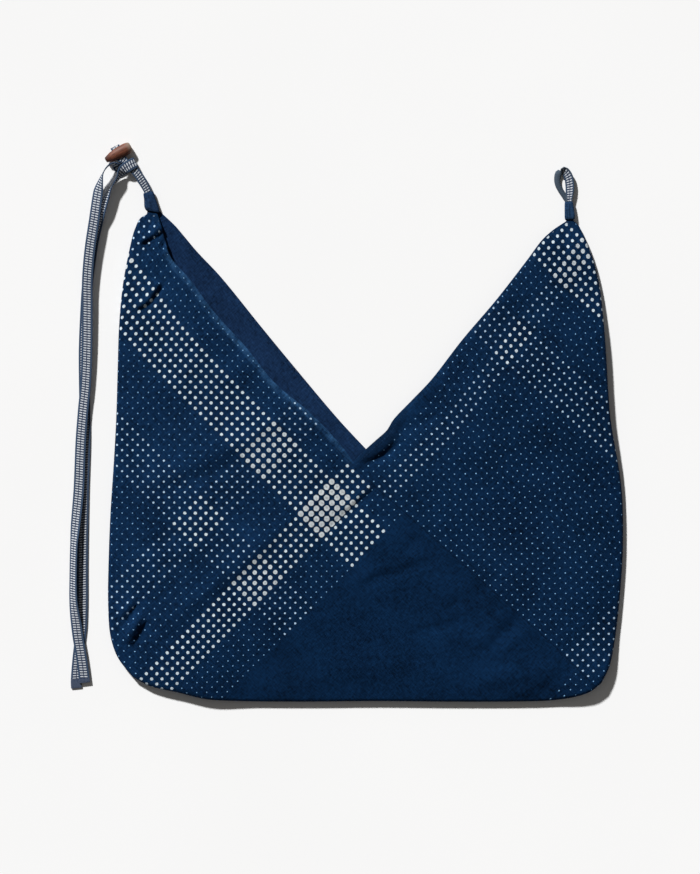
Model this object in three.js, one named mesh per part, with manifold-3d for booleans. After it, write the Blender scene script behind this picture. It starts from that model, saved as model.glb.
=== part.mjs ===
// A tsuno bag: one long strip of indigo cotton, folded in thirds and sewn to itself so that two
// horns stand up at the sides of a V-shaped mouth. It lies flat on its back, front side up.
// A plain sleeve gathers each horn. The left horn carries a doubled tape with a wooden toggle, and
// a long tape strap is hitched round it. The right horn carries the loop that the toggle goes through.
// Millimetres, +X to the bag's right, +Y to its horns, +Z up, origin under the middle of its box.

import * as THREE from 'three';
import Module from 'manifold-3d';
import { mergeVertices } from 'three/addons/utils/BufferGeometryUtils.js';

// Driving dimensions of the body
const CLOTH = 1.4;
const FOLD_RADIUS = 3.2;
const CROWN = 4.6;
const CROWN_REACH = 35;
const MOUTH_DROOP = 2.4;
const MOUTH_DROOP_REACH = 24;
const HEM_RIDGE = 0.7;
const HEM_WIDTH = 8;
const FOLD_END_SHARE = 0.35;
const FOLD_FADE = 20;
const EDGE_STEPS = [0, 0.7, 2, 4.2];
const NECK_STEPS = [10, 18];
const NECK_ROWS = [14, 9, 4.5, 0];
const MOUTH_STEP = 8;
const CELLS_ACROSS_HALF = 18;
const CELLS_UP = 20;
const OUTLINE_SAMPLES = 240;

// Driving dimensions of the tapes, the sleeves and the toggle
const TAPE_WIDTH = 10.8;
const TAPE_THICKNESS = 1.1;
const TAPE_STEPS_PER_SPAN = 3;
const SLEEVE_WALL = 1.1;
const SLEEVE_SIDES = 24;
const TOGGLE_LENGTH = 29;
const TOGGLE_SLOT = [TAPE_WIDTH + 0.8, 3.8];
const TOGGLE_SLOT_DEPTH = 20;
const TOGGLE_SIDES = 28;
const TOGGLE_FLATTEN = 0.82;
const TOGGLE_TURN = THREE.MathUtils.degToRad(24);
const TOGGLE_PLACE = [-228.7, 269.7, 5.2];

// The whole layout is shifted by this much, so that the origin lies under the middle of its box.
const FRAME_SHIFT = [0.95, -1.27];

// The toggle's turned outline: radius, then place along its axis as a share of half its length
const TOGGLE_PROFILE = [
  [0, -1], [2.6, -0.985], [3.7, -0.92], [4.5, -0.76], [5.3, -0.45], [5.9, -0.07],
  [6.1, 0.35], [6.0, 0.76], [5.3, 0.92], [4.2, 0.985], [0, 1],
];

// Outline of the folded cloth, as rows of x, y
const LEFT_EDGE = [
  [-214, -254], [-229, -235], [-236.5, -214], [-239, -182], [-238.5, -137], [-236.5, -87], [-233.5, -42],
  [-231, 3], [-229.5, 53], [-228, 98], [-224.4, 137], [-218, 172], [-212, 195], [-206.4, 205.5],
  [-200.5, 209], [-199.7, 213], [-199.7, 219],
];
const BOTTOM_EDGE = [
  [-214, -254], [-197, -262], [-169, -268], [-142, -274.5], [-112, -277], [-47, -277.5], [103, -277.5],
  [173, -277.5], [203, -277], [228, -273.5], [243, -268.5], [254, -260],
];
const RIGHT_EDGE = [
  [254, -260], [262, -244], [266.5, -225], [270, -202], [273.5, -167], [276, -127], [275.5, -77],
  [272.5, -49], [268, -24], [263.5, 3], [261, 33], [259, 68], [256.5, 103], [253, 135], [247, 161],
  [239, 183], [231.2, 198.5], [227, 202.4], [226.5, 206], [226.5, 210],
];
const FRONT_MOUTH_LEFT = [
  [-192.4, 219], [-190.2, 211], [-185.5, 197], [-181.5, 180], [-175, 164], [-157, 143.5], [-132, 110],
  [-102, 77], [-71, 39], [-36.5, 10], [-2, -27], [6, -39],
];
const FRONT_MOUTH_RIGHT = [
  [6, -39], [19, -26], [29, -17], [40, -7], [46, 3], [65, 23], [84, 43], [115, 83], [149, 123], [180, 163],
  [195, 183], [206, 193], [215.4, 199.4], [219.5, 202.4], [219.9, 206], [219.9, 210],
];
const BACK_MOUTH_LEFT = [
  [-192.4, 219], [-189.6, 211.5], [-187, 207.8], [-173, 197.5], [-150.5, 172], [-127, 147], [-84.4, 94.5],
  [-56, 60], [-8, 3], [19, -26], [32, -40],
];
const BACK_MOUTH_RIGHT = [
  [32, -40], [40, -27], [74.5, 10], [109, 39], [140, 77], [170, 110], [195, 143.5], [211, 165],
  [218.5, 183], [221, 198], [219.9, 210],
];

// Folds of the front: from x, y to x, y, then half width and height, where a trough is negative
const FRONT_FOLDS = [
  { fold: 'tuck under the seam', line: [30, -68, -20, -108], half: 7, height: -1.8 },
  { fold: 'long ridge to the corner', line: [-50, -92, -186, -208], half: 9, height: 1.8 },
  { fold: 'trough beside the ridge', line: [-52, -112, -182, -218], half: 8, height: -1.3 },
  { fold: 'soft ridge from the side', line: [-192, -58, -62, 6], half: 10, height: 1.3 },
  { fold: 'trough under that ridge', line: [-190, -70, -100, -36], half: 8, height: -1.0 },
  { fold: 'low crease at the side', line: [-218, -128, -150, -110], half: 8, height: -1.2 },
  { fold: 'corner pucker, upper', line: [-230, -204, -210, -176], half: 6, height: -1.5 },
  { fold: 'corner pucker ridge', line: [-226, -222, -206, -186], half: 6, height: 1.3 },
  { fold: 'corner pucker, lower', line: [-218, -226, -200, -190], half: 6, height: -1.6 },
  { fold: 'horn crease, upper', line: [-208, 176, -184, 193], half: 6, height: -1.8 },
  { fold: 'horn ridge', line: [-204, 152, -172, 178], half: 9, height: 1.2 },
  { fold: 'horn crease, lower', line: [-216, 110, -186, 140], half: 7, height: -1.6 },
  { fold: 'dip at the mouth corner', line: [12, -38, 48, -16], half: 10, height: -1.7 },
  { fold: 'crease from the dip', line: [55, -8, 92, 6], half: 8, height: -1.0 },
  { fold: 'wrinkle in the base, left', line: [14, -160, 70, -136], half: 8, height: -1.0 },
  { fold: 'wrinkle in the base, right', line: [140, -222, 174, -190], half: 9, height: -1.3 },
  { fold: 'swell above the bottom, left', line: [-70, -268, 18, -244], half: 12, height: 1.0 },
  { fold: 'swell above the bottom, right', line: [126, -264, 208, -240], half: 10, height: 1.4 },
  { fold: 'crease in the right corner', line: [178, -276, 216, -250], half: 7, height: -2.0 },
  { fold: 'diagonal seam', line: [30, -66, 232, -268], half: 7, height: -0.7 },
];

// Places where both layers rise from the surface: flat radius, outer radius, height, and how far
// the cloth is pressed together there, where 1 is not at all
const LIFTS = [
  { place: 'left horn', centre: [-196, 214], flat: 14, reach: 60, height: 2.3, press: 0.78 },
  { place: 'right horn', centre: [223, 208], flat: 14, reach: 60, height: 2.3, press: 0.78 },
  { place: 'bottom right corner', centre: [262, -266], flat: 6, reach: 64, height: 5.5, press: 1 },
  { place: 'bottom left corner', centre: [-232, -258], flat: 6, reach: 46, height: 2.5, press: 1 },
];

// Tape routes: x, y, z, then the direction across the tape, then its share of the full width
const STRAP_ROUTE = [
  [-262.4, -260, 2.7, 1, 0.05, 0, 1], [-265.4, -237, 2.7, 1, 0.1, 0, 1], [-268.8, -213, 2.7, 1, 0.1, 0, 1],
  [-270.4, -202, 3.3, 0.94, 0, 0.34, 1], [-272.7, -189, 4.6, 0.79, 0, 0.62, 1],
  [-273.7, -177, 5, 0.7, 0, 0.7, 1], [-273.8, -152, 5, 0.7, 0, 0.71, 1],
  [-273, -122, 4.9, 0.72, 0, 0.69, 1], [-271.5, -102, 4, 0.9, 0, 0.42, 1],
  [-268.4, -67, 3.5, 0.98, 0, 0.2, 1], [-266.3, -17, 3.6, 0.98, 0, 0.2, 1], [-264, 13, 4, 0.98, 0, 0.2, 1],
  [-261.5, 38, 4.6, 0.98, 0, 0.17, 1], [-260, 73, 5.4, 0.99, 0, 0.14, 1],
  [-259.7, 113, 6.2, 0.99, 0, 0.1, 1], [-259.5, 143, 7, 0.99, 0, 0.1, 1], [-257, 173, 8, 0.99, 0, 0.14, 1],
  [-252.5, 203, 8.8, 0.98, 0, 0.17, 1], [-248.5, 231, 8.4, 0.93, 0, 0.37, 1],
  [-246.2, 241, 7.8, 0.64, 0, 0.77, 1], [-243.6, 249.5, 7, 0.17, 0, 0.98, 1],
  [-239.5, 256, 6.4, 0, 0, 1, 1], [-235, 259.2, 6.6, -0.1, 0.1, 1, 1],
  [-231.6, 258.6, 5.8, -0.4, 0.5, 0.77, 1], [-228.8, 255.7, 3.35, -0.5, 0.8, 0.36, 1],
  [-224, 254.8, 1.2, -0.51, 0.86, 0.05, 1], [-219.5, 257, 0.95, -0.51, 0.86, 0, 1],
  [-214.3, 260.1, 0.95, -0.51, 0.86, 0, 1], [-212.3, 261.2, 2, -0.51, 0.86, 0, 1],
  [-211.4, 261.8, 4.1, -0.51, 0.86, 0, 1], [-212.2, 261.3, 6.3, -0.51, 0.86, 0, 1],
  [-214.3, 260.1, 7.4, -0.51, 0.86, 0, 1], [-219.5, 257, 7.5, -0.51, 0.86, 0, 1],
  [-223.6, 254.6, 7.4, -0.51, 0.86, 0.05, 1], [-227, 251.6, 7.1, -0.5, 0.8, 0.3, 1],
  [-230.2, 247, 6.8, -0.4, 0.5, 0.77, 1], [-233.5, 241.5, 6.4, -0.1, 0.1, 1, 1],
  [-237.6, 234.5, 6.2, 0.2, 0, 0.98, 1], [-240.4, 227, 6, 0.6, 0, 0.8, 1],
  [-243.5, 217, 5.2, 0.72, 0, 0.69, 1], [-247, 207, 4.2, 0.85, 0, 0.53, 1],
  [-250.5, 195, 2.8, 0.95, 0, 0.3, 1], [-254, 181, 1.7, 0.99, 0, 0.12, 1], [-257.2, 161, 1, 1, 0, 0, 1],
  [-260, 138, 0.9, 1, 0, 0, 1], [-261.6, 113, 0.9, 1, 0, 0, 1], [-263.2, 73, 0.9, 1, 0, 0, 1],
  [-263, 38, 0.9, 1, 0, 0, 1], [-262.5, 13, 0.9, 1, 0, 0, 1], [-262.3, -17, 0.9, 1, 0, 0, 1],
  [-263.8, -67, 0.9, 1, 0, 0, 1], [-264.7, -117, 0.9, 1, 0, 0, 1], [-265, -152, 0.9, 1, 0, 0, 1],
  [-265, -177, 0.9, 1, 0, 0, 1], [-266.5, -204, 0.9, 1, 0, 0, 1], [-268, -213, 0.9, 1, 0, 0, 1],
  [-270, -237, 0.9, 1, 0, 0, 1], [-271.2, -260, 0.9, 1, -0.05, 0, 1],
  [-270.8, -265.5, 0.9, 1, -0.05, 0, 1],
];
const SHORT_TAPE_ROUTE = [
  [-197.4, 222.6, 3.9, 0.95, 0.3, 0, 0.58], [-199.2, 231, 3.9, 0.9, 0.4, 0, 0.66],
  [-204.2, 241, 3.8, 0.85, 0.52, 0, 0.8], [-210.6, 250.6, 3.75, 0.76, 0.65, 0, 0.76],
  [-218.9, 257.4, 3.8, 0.65, 0.76, 0, 0.62], [-222.6, 262.7, 4.2, 0.8, 0.6, 0, 0.6],
  [-226.6, 265, 4.35, 0.91, 0.41, 0, 0.9], [-228.7, 269.7, 4.35, 0.91, 0.41, 0, 0.9],
  [-231.2, 275.2, 4.35, 0.91, 0.41, 0, 0.9], [-232.3, 277.6, 5.2, 0.91, 0.41, 0, 0.9],
  [-231.2, 275.2, 6.05, 0.91, 0.41, 0, 0.9], [-228.7, 269.7, 6.05, 0.91, 0.41, 0, 0.9],
  [-226.6, 265, 6.05, 0.91, 0.41, 0, 0.9], [-222.6, 262.7, 5.9, 0.8, 0.6, 0, 0.6],
  [-218.9, 257.4, 5.6, 0.65, 0.76, 0, 0.62], [-210.6, 250.6, 5.5, 0.76, 0.65, 0, 0.78],
  [-204.2, 241, 5.5, 0.85, 0.52, 0, 0.8], [-199.2, 231, 5.6, 0.9, 0.4, 0, 0.66],
  [-197.4, 222.6, 5.6, 0.95, 0.3, 0, 0.6],
];
const LOOP_ROUTE = [
  [222.4, 212.5, 3.9, 1, 0, 0, 0.5], [221.9, 222.6, 3.9, 1, 0, 0.04, 0.5],
  [218.2, 229.4, 4.8, 0.7, 0, 0.7, 0.8], [211.9, 236.5, 5.6, 0.4, 0, 0.92, 1],
  [210.3, 245, 5.8, 0.4, 0, 0.92, 1], [212.2, 251.9, 6, 0.35, 0.25, 0.9, 1],
  [217, 252.6, 6, 0.45, 0.45, 0.77, 1], [221.2, 247.5, 6, 0.65, 0.25, 0.72, 1],
  [223.4, 239, 5.8, 0.72, 0, 0.7, 1], [223.8, 231, 5.6, 0.8, 0, 0.6, 0.85],
  [222.4, 222.6, 5.8, 1, 0, 0.04, 0.5], [222.4, 212.5, 5.8, 1, 0, 0, 0.5],
];

// Sleeve sections: centre x, y, z, then half width and half height, from the horn to the tape
const LEFT_SLEEVE = [
  [-194.3, 212.4, 4.8, 7.7, 4.6], [-195.9, 217.5, 4.8, 7.2, 4.6], [-197.4, 224.5, 4.8, 5.8, 4.3],
  [-198.8, 230.7, 4.7, 5.5, 3.9],
];
const RIGHT_SLEEVE = [
  [223.2, 204.3, 4.8, 5.9, 4.7], [223.0, 210.5, 4.8, 5.7, 4.6], [222.5, 216, 4.8, 4.9, 4.2],
  [222.1, 221.4, 4.8, 4.7, 3.9],
];

// Finishes
const INDIGO = { color: 0x10294d, roughness: 0.95, metalness: 0 };
const INDIGO_PLAIN = { color: 0x142f55, roughness: 0.95, metalness: 0 };
const TAPE_BLUE = { color: 0x4a5b7d, roughness: 0.9, metalness: 0 };
const TOGGLE_WOOD = { color: 0x8a4630, roughness: 0.5, metalness: 0 };

function named(name, geometry, finish) {
  const mesh = new THREE.Mesh(geometry, new THREE.MeshStandardMaterial(finish));
  mesh.name = name;
  return mesh;
}

function smooth(value) {
  const t = THREE.MathUtils.clamp(value, 0, 1);
  return t * t * (3 - 2 * t);
}

function curveThrough(points) {
  const places = points.map(([x, y, z = 0]) => new THREE.Vector3(x, y, z));
  const curve = new THREE.CatmullRomCurve3(places, false, 'centripetal');
  curve.arcLengthDivisions = 600;
  return curve;
}

// A closed surface through rings of equal length. It ends in two flat caps, or joins up as a ring.
function skin(rings, joinsUp) {
  const sides = rings[0].length;
  const positions = rings.flat().flatMap((point) => point.toArray());
  const faces = [];
  const spans = joinsUp ? rings.length : rings.length - 1;
  for (let ring = 0; ring < spans; ring += 1) {
    const here = ring * sides;
    const next = ((ring + 1) % rings.length) * sides;
    for (let side = 0; side < sides; side += 1) {
      const beside = (side + 1) % sides;
      faces.push(here + side, here + beside, next + beside);
      faces.push(here + side, next + beside, next + side);
    }
  }
  if (!joinsUp) {
    const last = (rings.length - 1) * sides;
    for (let side = 1; side < sides - 1; side += 1) {
      faces.push(0, side + 1, side);
      faces.push(last, last + side, last + side + 1);
    }
  }
  const geometry = new THREE.BufferGeometry();
  geometry.setAttribute('position', new THREE.Float32BufferAttribute(positions, 3));
  geometry.setIndex(faces);
  return geometry;
}

// The body's front and back are two grids of cells between its folded outline and its mouth.
// Grid lines lie close together at the folded edge, which is a half circle in section.
function evenSteps(from, to, count) {
  return Array.from({ length: count }, (_, step) => from + ((to - from) * (step + 1)) / count);
}

function mirroredSteps(nearLeft, nearRight, middle, length) {
  const left = [...nearLeft, ...evenSteps(nearLeft.at(-1), middle, CELLS_ACROSS_HALF)];
  const right = nearRight.map((step) => length - step).reverse();
  const towardsRight = evenSteps(middle, right[0], CELLS_ACROSS_HALF).slice(0, -1);
  return [...left, ...towardsRight, ...right];
}

function pointsAt(curve, lengths) {
  const total = curve.getLength();
  return lengths.map((length) => curve.getPointAt(THREE.MathUtils.clamp(length / total, 0, 1)));
}

function bottomLine() {
  const curve = curveThrough(BOTTOM_EDGE);
  const length = curve.getLength();
  const nearSides = [...EDGE_STEPS, ...NECK_STEPS];
  const steps = mirroredSteps(nearSides, nearSides, length / 2, length);
  return { points: pointsAt(curve, steps), shares: steps.map((step) => step / length) };
}

function mouthLine(leftRow, rightRow, leftCorner, rightCorner) {
  const left = curveThrough(leftRow);
  const right = curveThrough(rightRow);
  const leftNeck = new THREE.LineCurve3(leftCorner, left.getPoint(0));
  const rightNeck = new THREE.LineCurve3(right.getPoint(1), rightCorner);
  const path = new THREE.CurvePath();
  [leftNeck, left, right, rightNeck].forEach((curve) => path.add(curve));
  const [neckEnd, tip, farNeck, length] = path.getCurveLengths();
  const nearLeft = [...EDGE_STEPS, neckEnd, neckEnd + MOUTH_STEP];
  const nearRight = [...EDGE_STEPS, length - farNeck, length - farNeck + MOUTH_STEP];
  const steps = mirroredSteps(nearLeft, nearRight, tip, length);
  return { points: pointsAt(path, steps), shares: steps.map((step) => step / length) };
}

function sideLine(row) {
  const curve = curveThrough(row);
  const length = curve.getLength();
  const neckRows = NECK_ROWS.map((fromTop) => length - fromTop);
  const evenRows = evenSteps(EDGE_STEPS.at(-1), neckRows[0], CELLS_UP);
  const steps = [...EDGE_STEPS, ...evenRows, ...neckRows.slice(1)];
  return { points: pointsAt(curve, steps), shares: steps.map((step) => step / length) };
}

function coonsPoint(sides, column, row) {
  const { bottom, mouth, left, right } = sides;
  const middleRise = (left.shares[row] + right.shares[row]) / 2;
  const along = THREE.MathUtils.lerp(bottom.shares[column], mouth.shares[column], middleRise);
  const up = THREE.MathUtils.lerp(left.shares[row], right.shares[row], along);
  const across = bottom.points[column].clone().lerp(mouth.points[column], up);
  const upwards = left.points[row].clone().lerp(right.points[row], along);
  const lowCorners = left.points[0].clone().lerp(right.points[0], along);
  const highCorners = left.points.at(-1).clone().lerp(right.points.at(-1), along);
  return across.add(upwards).sub(lowCorners.lerp(highCorners, up));
}

function distanceToSegment(x, y, [x0, y0, x1, y1]) {
  const [dx, dy] = [x1 - x0, y1 - y0];
  const share = THREE.MathUtils.clamp(((x - x0) * dx + (y - y0) * dy) / (dx * dx + dy * dy), 0, 1);
  return { share, distance: Math.hypot(x - x0 - share * dx, y - y0 - share * dy) };
}

function segmentsOf(curves) {
  const segments = [];
  for (const curve of curves) {
    const points = curve.getSpacedPoints(OUTLINE_SAMPLES);
    points.slice(1).forEach((point, i) => segments.push([points[i].x, points[i].y, point.x, point.y]));
  }
  return segments;
}

function distanceTo(segments, x, y) {
  return Math.min(...segments.map((segment) => distanceToSegment(x, y, segment).distance));
}

function foldHeight(x, y) {
  let height = 0;
  for (const { line, half, height: rise } of FRONT_FOLDS) {
    const { share, distance } = distanceToSegment(x, y, line);
    const endFade = FOLD_END_SHARE + (1 - FOLD_END_SHARE) * Math.sin(Math.PI * share);
    height += rise * endFade * Math.exp(-((distance / half) ** 2));
  }
  return height;
}

function settled(x, y, thickness) {
  let lift = 0;
  let press = 1;
  for (const { centre, flat, reach, height, press: pressed } of LIFTS) {
    const distance = Math.hypot(x - centre[0], y - centre[1]);
    const share = 1 - smooth((distance - flat) / (reach - flat));
    lift += height * share;
    press *= THREE.MathUtils.lerp(1, pressed, share);
  }
  return lift + press * thickness;
}

function createHeights() {
  const edge = segmentsOf([curveThrough(LEFT_EDGE), curveThrough(BOTTOM_EDGE), curveThrough(RIGHT_EDGE)]);
  const mouth = segmentsOf([curveThrough(FRONT_MOUTH_LEFT), curveThrough(FRONT_MOUTH_RIGHT)]);
  function arch(x, y) {
    const inward = distanceTo(edge, x, y);
    const rest = Math.max(FOLD_RADIUS - inward, 0);
    return { inward, rise: Math.sqrt(FOLD_RADIUS ** 2 - rest ** 2) };
  }
  return {
    front(x, y) {
      const { inward, rise } = arch(x, y);
      const past = Math.max(inward - FOLD_RADIUS, 0);
      const crown = CROWN * (1 - Math.exp(-past / CROWN_REACH));
      const fromMouth = distanceTo(mouth, x, y);
      const droop = MOUTH_DROOP * Math.exp(-fromMouth / MOUTH_DROOP_REACH) * (crown / CROWN);
      const hem = HEM_RIDGE * Math.exp(-(((fromMouth - HEM_WIDTH) / HEM_WIDTH) ** 2));
      const relief = (foldHeight(x, y) + hem) * smooth(past / FOLD_FADE);
      return settled(x, y, FOLD_RADIUS + rise + crown - droop + relief);
    },
    back(x, y) {
      return settled(x, y, FOLD_RADIUS - arch(x, y).rise);
    },
  };
}

function createBodyGeometry() {
  const heights = createHeights();
  const left = sideLine(LEFT_EDGE);
  const right = sideLine(RIGHT_EDGE);
  const bottom = bottomLine();
  const corners = [left.points.at(-1), right.points.at(-1)];
  const frontMouth = mouthLine(FRONT_MOUTH_LEFT, FRONT_MOUTH_RIGHT, ...corners);
  const backMouth = mouthLine(BACK_MOUTH_LEFT, BACK_MOUTH_RIGHT, ...corners);
  const frontSides = { bottom, left, right, mouth: frontMouth };
  const backSides = { bottom, left, right, mouth: backMouth };
  const columns = bottom.points.length;
  const rows = left.points.length;
  const outer = [];
  const index = { front: [], back: [] };
  function addPoint(layer, sides, column, row) {
    const point = coonsPoint(sides, column, row);
    point.z = heights[layer](point.x, point.y);
    index[layer][row * columns + column] = outer.length;
    outer.push(point);
  }
  for (let row = 0; row < rows; row += 1) {
    for (let column = 0; column < columns; column += 1) {
      addPoint('front', frontSides, column, row);
      if (row === 0 || column === 0 || column === columns - 1) {
        index.back[row * columns + column] = outer.length - 1;
      } else {
        addPoint('back', backSides, column, row);
      }
    }
  }
  const outerFaces = [];
  for (let row = 0; row < rows - 1; row += 1) {
    for (let column = 0; column < columns - 1; column += 1) {
      const cell = row * columns + column;
      const loop = [cell, cell + 1, cell + columns + 1, cell + columns];
      const [a, b, c, d] = loop.map((place) => index.front[place]);
      const [e, f, g, h] = loop.map((place) => index.back[place]);
      outerFaces.push([a, b, c], [a, c, d], [e, g, f], [e, h, g]);
    }
  }
  return thickened(outer, outerFaces, rimLoop(index, columns, rows));
}

// The free edge of the cloth: along the front's mouth and back along the back's
function rimLoop(index, columns, rows) {
  const first = (rows - 1) * columns;
  const front = Array.from({ length: columns }, (_, column) => index.front[first + column]);
  const back = Array.from({ length: columns }, (_, column) => index.back[first + column]);
  return [...front, ...back.reverse().slice(1, -1)];
}

function thickened(outer, outerFaces, rim) {
  const count = outer.length;
  const sheet = new THREE.BufferGeometry().setFromPoints(outer);
  sheet.setIndex(outerFaces.flat());
  sheet.computeVertexNormals();
  const normals = sheet.attributes.normal;
  const inner = outer.map((point, i) => {
    const normal = new THREE.Vector3().fromBufferAttribute(normals, i);
    return point.clone().addScaledVector(normal, -CLOTH);
  });
  const innerFaces = outerFaces.map(([a, b, c]) => [a + count, c + count, b + count]);
  const rimFaces = rim.flatMap((here, i) => {
    const next = rim[(i + 1) % rim.length];
    return [[here, next, next + count], [here, next + count, here + count]];
  });
  const geometry = new THREE.BufferGeometry().setFromPoints([...outer, ...inner]);
  geometry.setIndex([...outerFaces, ...innerFaces, ...rimFaces].flat());
  return geometry;
}

// A flat tape along a route. Its section stays square to the route and turns with the table.
function createTapeGeometry(route) {
  const centre = curveThrough(route);
  const across = new THREE.CatmullRomCurve3(route.map((row) => new THREE.Vector3(row[3], row[4], row[5])));
  const steps = (route.length - 1) * TAPE_STEPS_PER_SPAN;
  const rings = [];
  for (let step = 0; step <= steps; step += 1) {
    const t = step / steps;
    const span = Math.min(Math.floor(t * (route.length - 1)), route.length - 2);
    const share = THREE.MathUtils.lerp(route[span][6], route[span + 1][6], t * (route.length - 1) - span);
    const point = centre.getPoint(t);
    const tangent = centre.getTangent(t);
    const side = across.getPoint(t);
    side.addScaledVector(tangent, -side.dot(tangent)).normalize();
    const normal = new THREE.Vector3().crossVectors(tangent, side);
    const halfWidth = (TAPE_WIDTH / 2) * share;
    const corners = [[-1, -1], [1, -1], [1, 1], [-1, 1]];
    rings.push(corners.map(([sideways, upwards]) => point.clone()
      .addScaledVector(side, sideways * halfWidth)
      .addScaledVector(normal, (upwards * TAPE_THICKNESS) / 2)));
  }
  return skin(rings, false);
}

// A sleeve is a flattened tube: its rings run up the outside and down the inside.
function createSleeveGeometry(sections) {
  const centres = sections.map(([x, y, z]) => new THREE.Vector3(x, y, z));
  const axis = centres.at(-1).clone().sub(centres[0]).normalize();
  const side = new THREE.Vector3(axis.y, -axis.x, 0).normalize();
  const up = new THREE.Vector3().crossVectors(side, axis);
  function ring(section, inset) {
    const [x, y, z, halfWidth, halfHeight] = section;
    return Array.from({ length: SLEEVE_SIDES }, (_, i) => {
      const angle = (i / SLEEVE_SIDES) * Math.PI * 2;
      const [cos, sin] = [Math.cos(angle), Math.sin(angle)];
      const squareness = (cos ** 4 + sin ** 4) ** -0.25;
      return new THREE.Vector3(x, y, z)
        .addScaledVector(side, cos * squareness * (halfWidth - inset))
        .addScaledVector(up, sin * squareness * (halfHeight - inset));
    });
  }
  const outside = sections.map((section) => ring(section, 0));
  const inside = sections.map((section) => ring(section, SLEEVE_WALL)).reverse();
  return skin([...outside, ...inside].map((points) => points.reverse()), true);
}

const wasm = await Module();
wasm.setup();

function solidOf(geometry) {
  const bare = geometry.clone();
  bare.deleteAttribute('normal');
  bare.deleteAttribute('uv');
  const merged = mergeVertices(bare);
  return new wasm.Manifold(new wasm.Mesh({
    numProp: 3,
    vertProperties: new Float32Array(merged.attributes.position.array),
    triVerts: new Uint32Array(merged.index.array),
  }));
}

function geometryOf(solid) {
  const { vertProperties, triVerts } = solid.getMesh();
  const geometry = new THREE.BufferGeometry();
  geometry.setAttribute('position', new THREE.BufferAttribute(new Float32Array(vertProperties), 3));
  geometry.setIndex(new THREE.BufferAttribute(new Uint32Array(triVerts), 1));
  return geometry;
}

// The toggle is a turned barrel, thicker at its right end, with a slot across its middle.
function createToggleGeometry() {
  const half = TOGGLE_LENGTH / 2;
  const profile = TOGGLE_PROFILE.map(([radius, share]) => new THREE.Vector2(radius, share * half));
  const barrel = new THREE.LatheGeometry(profile, TOGGLE_SIDES);
  barrel.rotateZ(-Math.PI / 2);
  const slot = new THREE.BoxGeometry(TOGGLE_SLOT[0], TOGGLE_SLOT_DEPTH, TOGGLE_SLOT[1] / TOGGLE_FLATTEN);
  return geometryOf(solidOf(barrel).subtract(solidOf(slot)));
}

function createToggle() {
  const toggle = named('toggle', createToggleGeometry(), TOGGLE_WOOD);
  toggle.scale.z = TOGGLE_FLATTEN;
  toggle.rotation.z = TOGGLE_TURN;
  toggle.position.set(...TOGGLE_PLACE);
  return toggle;
}

const bag = new THREE.Group();
bag.add(named('bag_body', createBodyGeometry(), INDIGO));
bag.add(named('sleeve_left', createSleeveGeometry(LEFT_SLEEVE), INDIGO_PLAIN));
bag.add(named('sleeve_right', createSleeveGeometry(RIGHT_SLEEVE), INDIGO_PLAIN));
bag.add(named('tape_short', createTapeGeometry(SHORT_TAPE_ROUTE), TAPE_BLUE));
bag.add(named('tape_loop', createTapeGeometry(LOOP_ROUTE), TAPE_BLUE));
bag.add(named('strap', createTapeGeometry(STRAP_ROUTE), TAPE_BLUE));
bag.add(createToggle());
bag.position.set(...FRAME_SHIFT, 0);

export default bag;
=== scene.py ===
# %% [markdown]
# # A folded cotton bag with two horns, lying flat
# One long strip of indigo cotton is folded in thirds and sewn to itself. It makes a flat bag with
# two horns and a V-shaped mouth. The model that MuJoCo uses is loaded first, as a frame that stays
# where it is. Every piece here is made in that frame, so a piece goes where the solid is.

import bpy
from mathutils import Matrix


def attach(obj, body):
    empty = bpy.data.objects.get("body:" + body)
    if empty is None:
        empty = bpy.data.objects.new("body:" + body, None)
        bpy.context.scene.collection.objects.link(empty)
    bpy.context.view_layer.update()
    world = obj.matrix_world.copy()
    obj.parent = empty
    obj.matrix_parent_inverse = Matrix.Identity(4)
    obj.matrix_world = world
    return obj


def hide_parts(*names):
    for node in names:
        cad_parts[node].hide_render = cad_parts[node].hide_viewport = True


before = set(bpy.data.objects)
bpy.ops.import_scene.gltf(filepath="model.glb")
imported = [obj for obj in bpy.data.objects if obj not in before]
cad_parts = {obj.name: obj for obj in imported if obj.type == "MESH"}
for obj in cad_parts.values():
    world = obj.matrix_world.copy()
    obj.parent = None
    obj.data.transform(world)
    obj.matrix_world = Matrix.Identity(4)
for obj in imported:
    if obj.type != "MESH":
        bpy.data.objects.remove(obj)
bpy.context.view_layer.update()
print("solids:", sorted(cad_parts))

# %% [markdown]
# The tables below are in millimetres of a layout that has its zero near the middle of the bag, and
# FRAME_SHIFT carries them to the frame's own zero. A few short helpers select a piece, apply a
# modifier, merge seams, and place the vertices and the map of a grid.

# %% Helpers and the frame's place
import math
from functools import partial

import bpy
import numpy as np

MM = 0.001
FRAME_SHIFT = np.array([0.95, -1.27, 0.0])
SEED = 7
MERGE_DISTANCE = 1e-6


def deselect_all():
    for other in bpy.context.selected_objects:
        other.select_set(False)


def make_active(piece):
    deselect_all()
    piece.select_set(True)
    bpy.context.view_layer.objects.active = piece


def apply_modifier(piece, kind, **settings):
    make_active(piece)
    modifier = piece.modifiers.new(kind.lower(), kind)
    for name, value in settings.items():
        setattr(modifier, name, value)
    bpy.ops.object.modifier_apply(modifier=modifier.name)


def edit_whole(piece, *steps):
    """Runs operators of edit mode, each with its settings, on the whole of a piece."""
    make_active(piece)
    bpy.ops.object.mode_set(mode="EDIT")
    bpy.ops.mesh.select_all(action="SELECT")
    for operator, settings in steps:
        operator(**settings)
    bpy.ops.object.mode_set(mode="OBJECT")


def close_seams(piece):
    """Merges the vertices that lie together, then turns all faces outwards."""
    edit_whole(
        piece,
        (bpy.ops.mesh.remove_doubles, {"threshold": MERGE_DISTANCE}),
        (bpy.ops.mesh.normals_make_consistent, {"inside": False}),
    )


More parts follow.
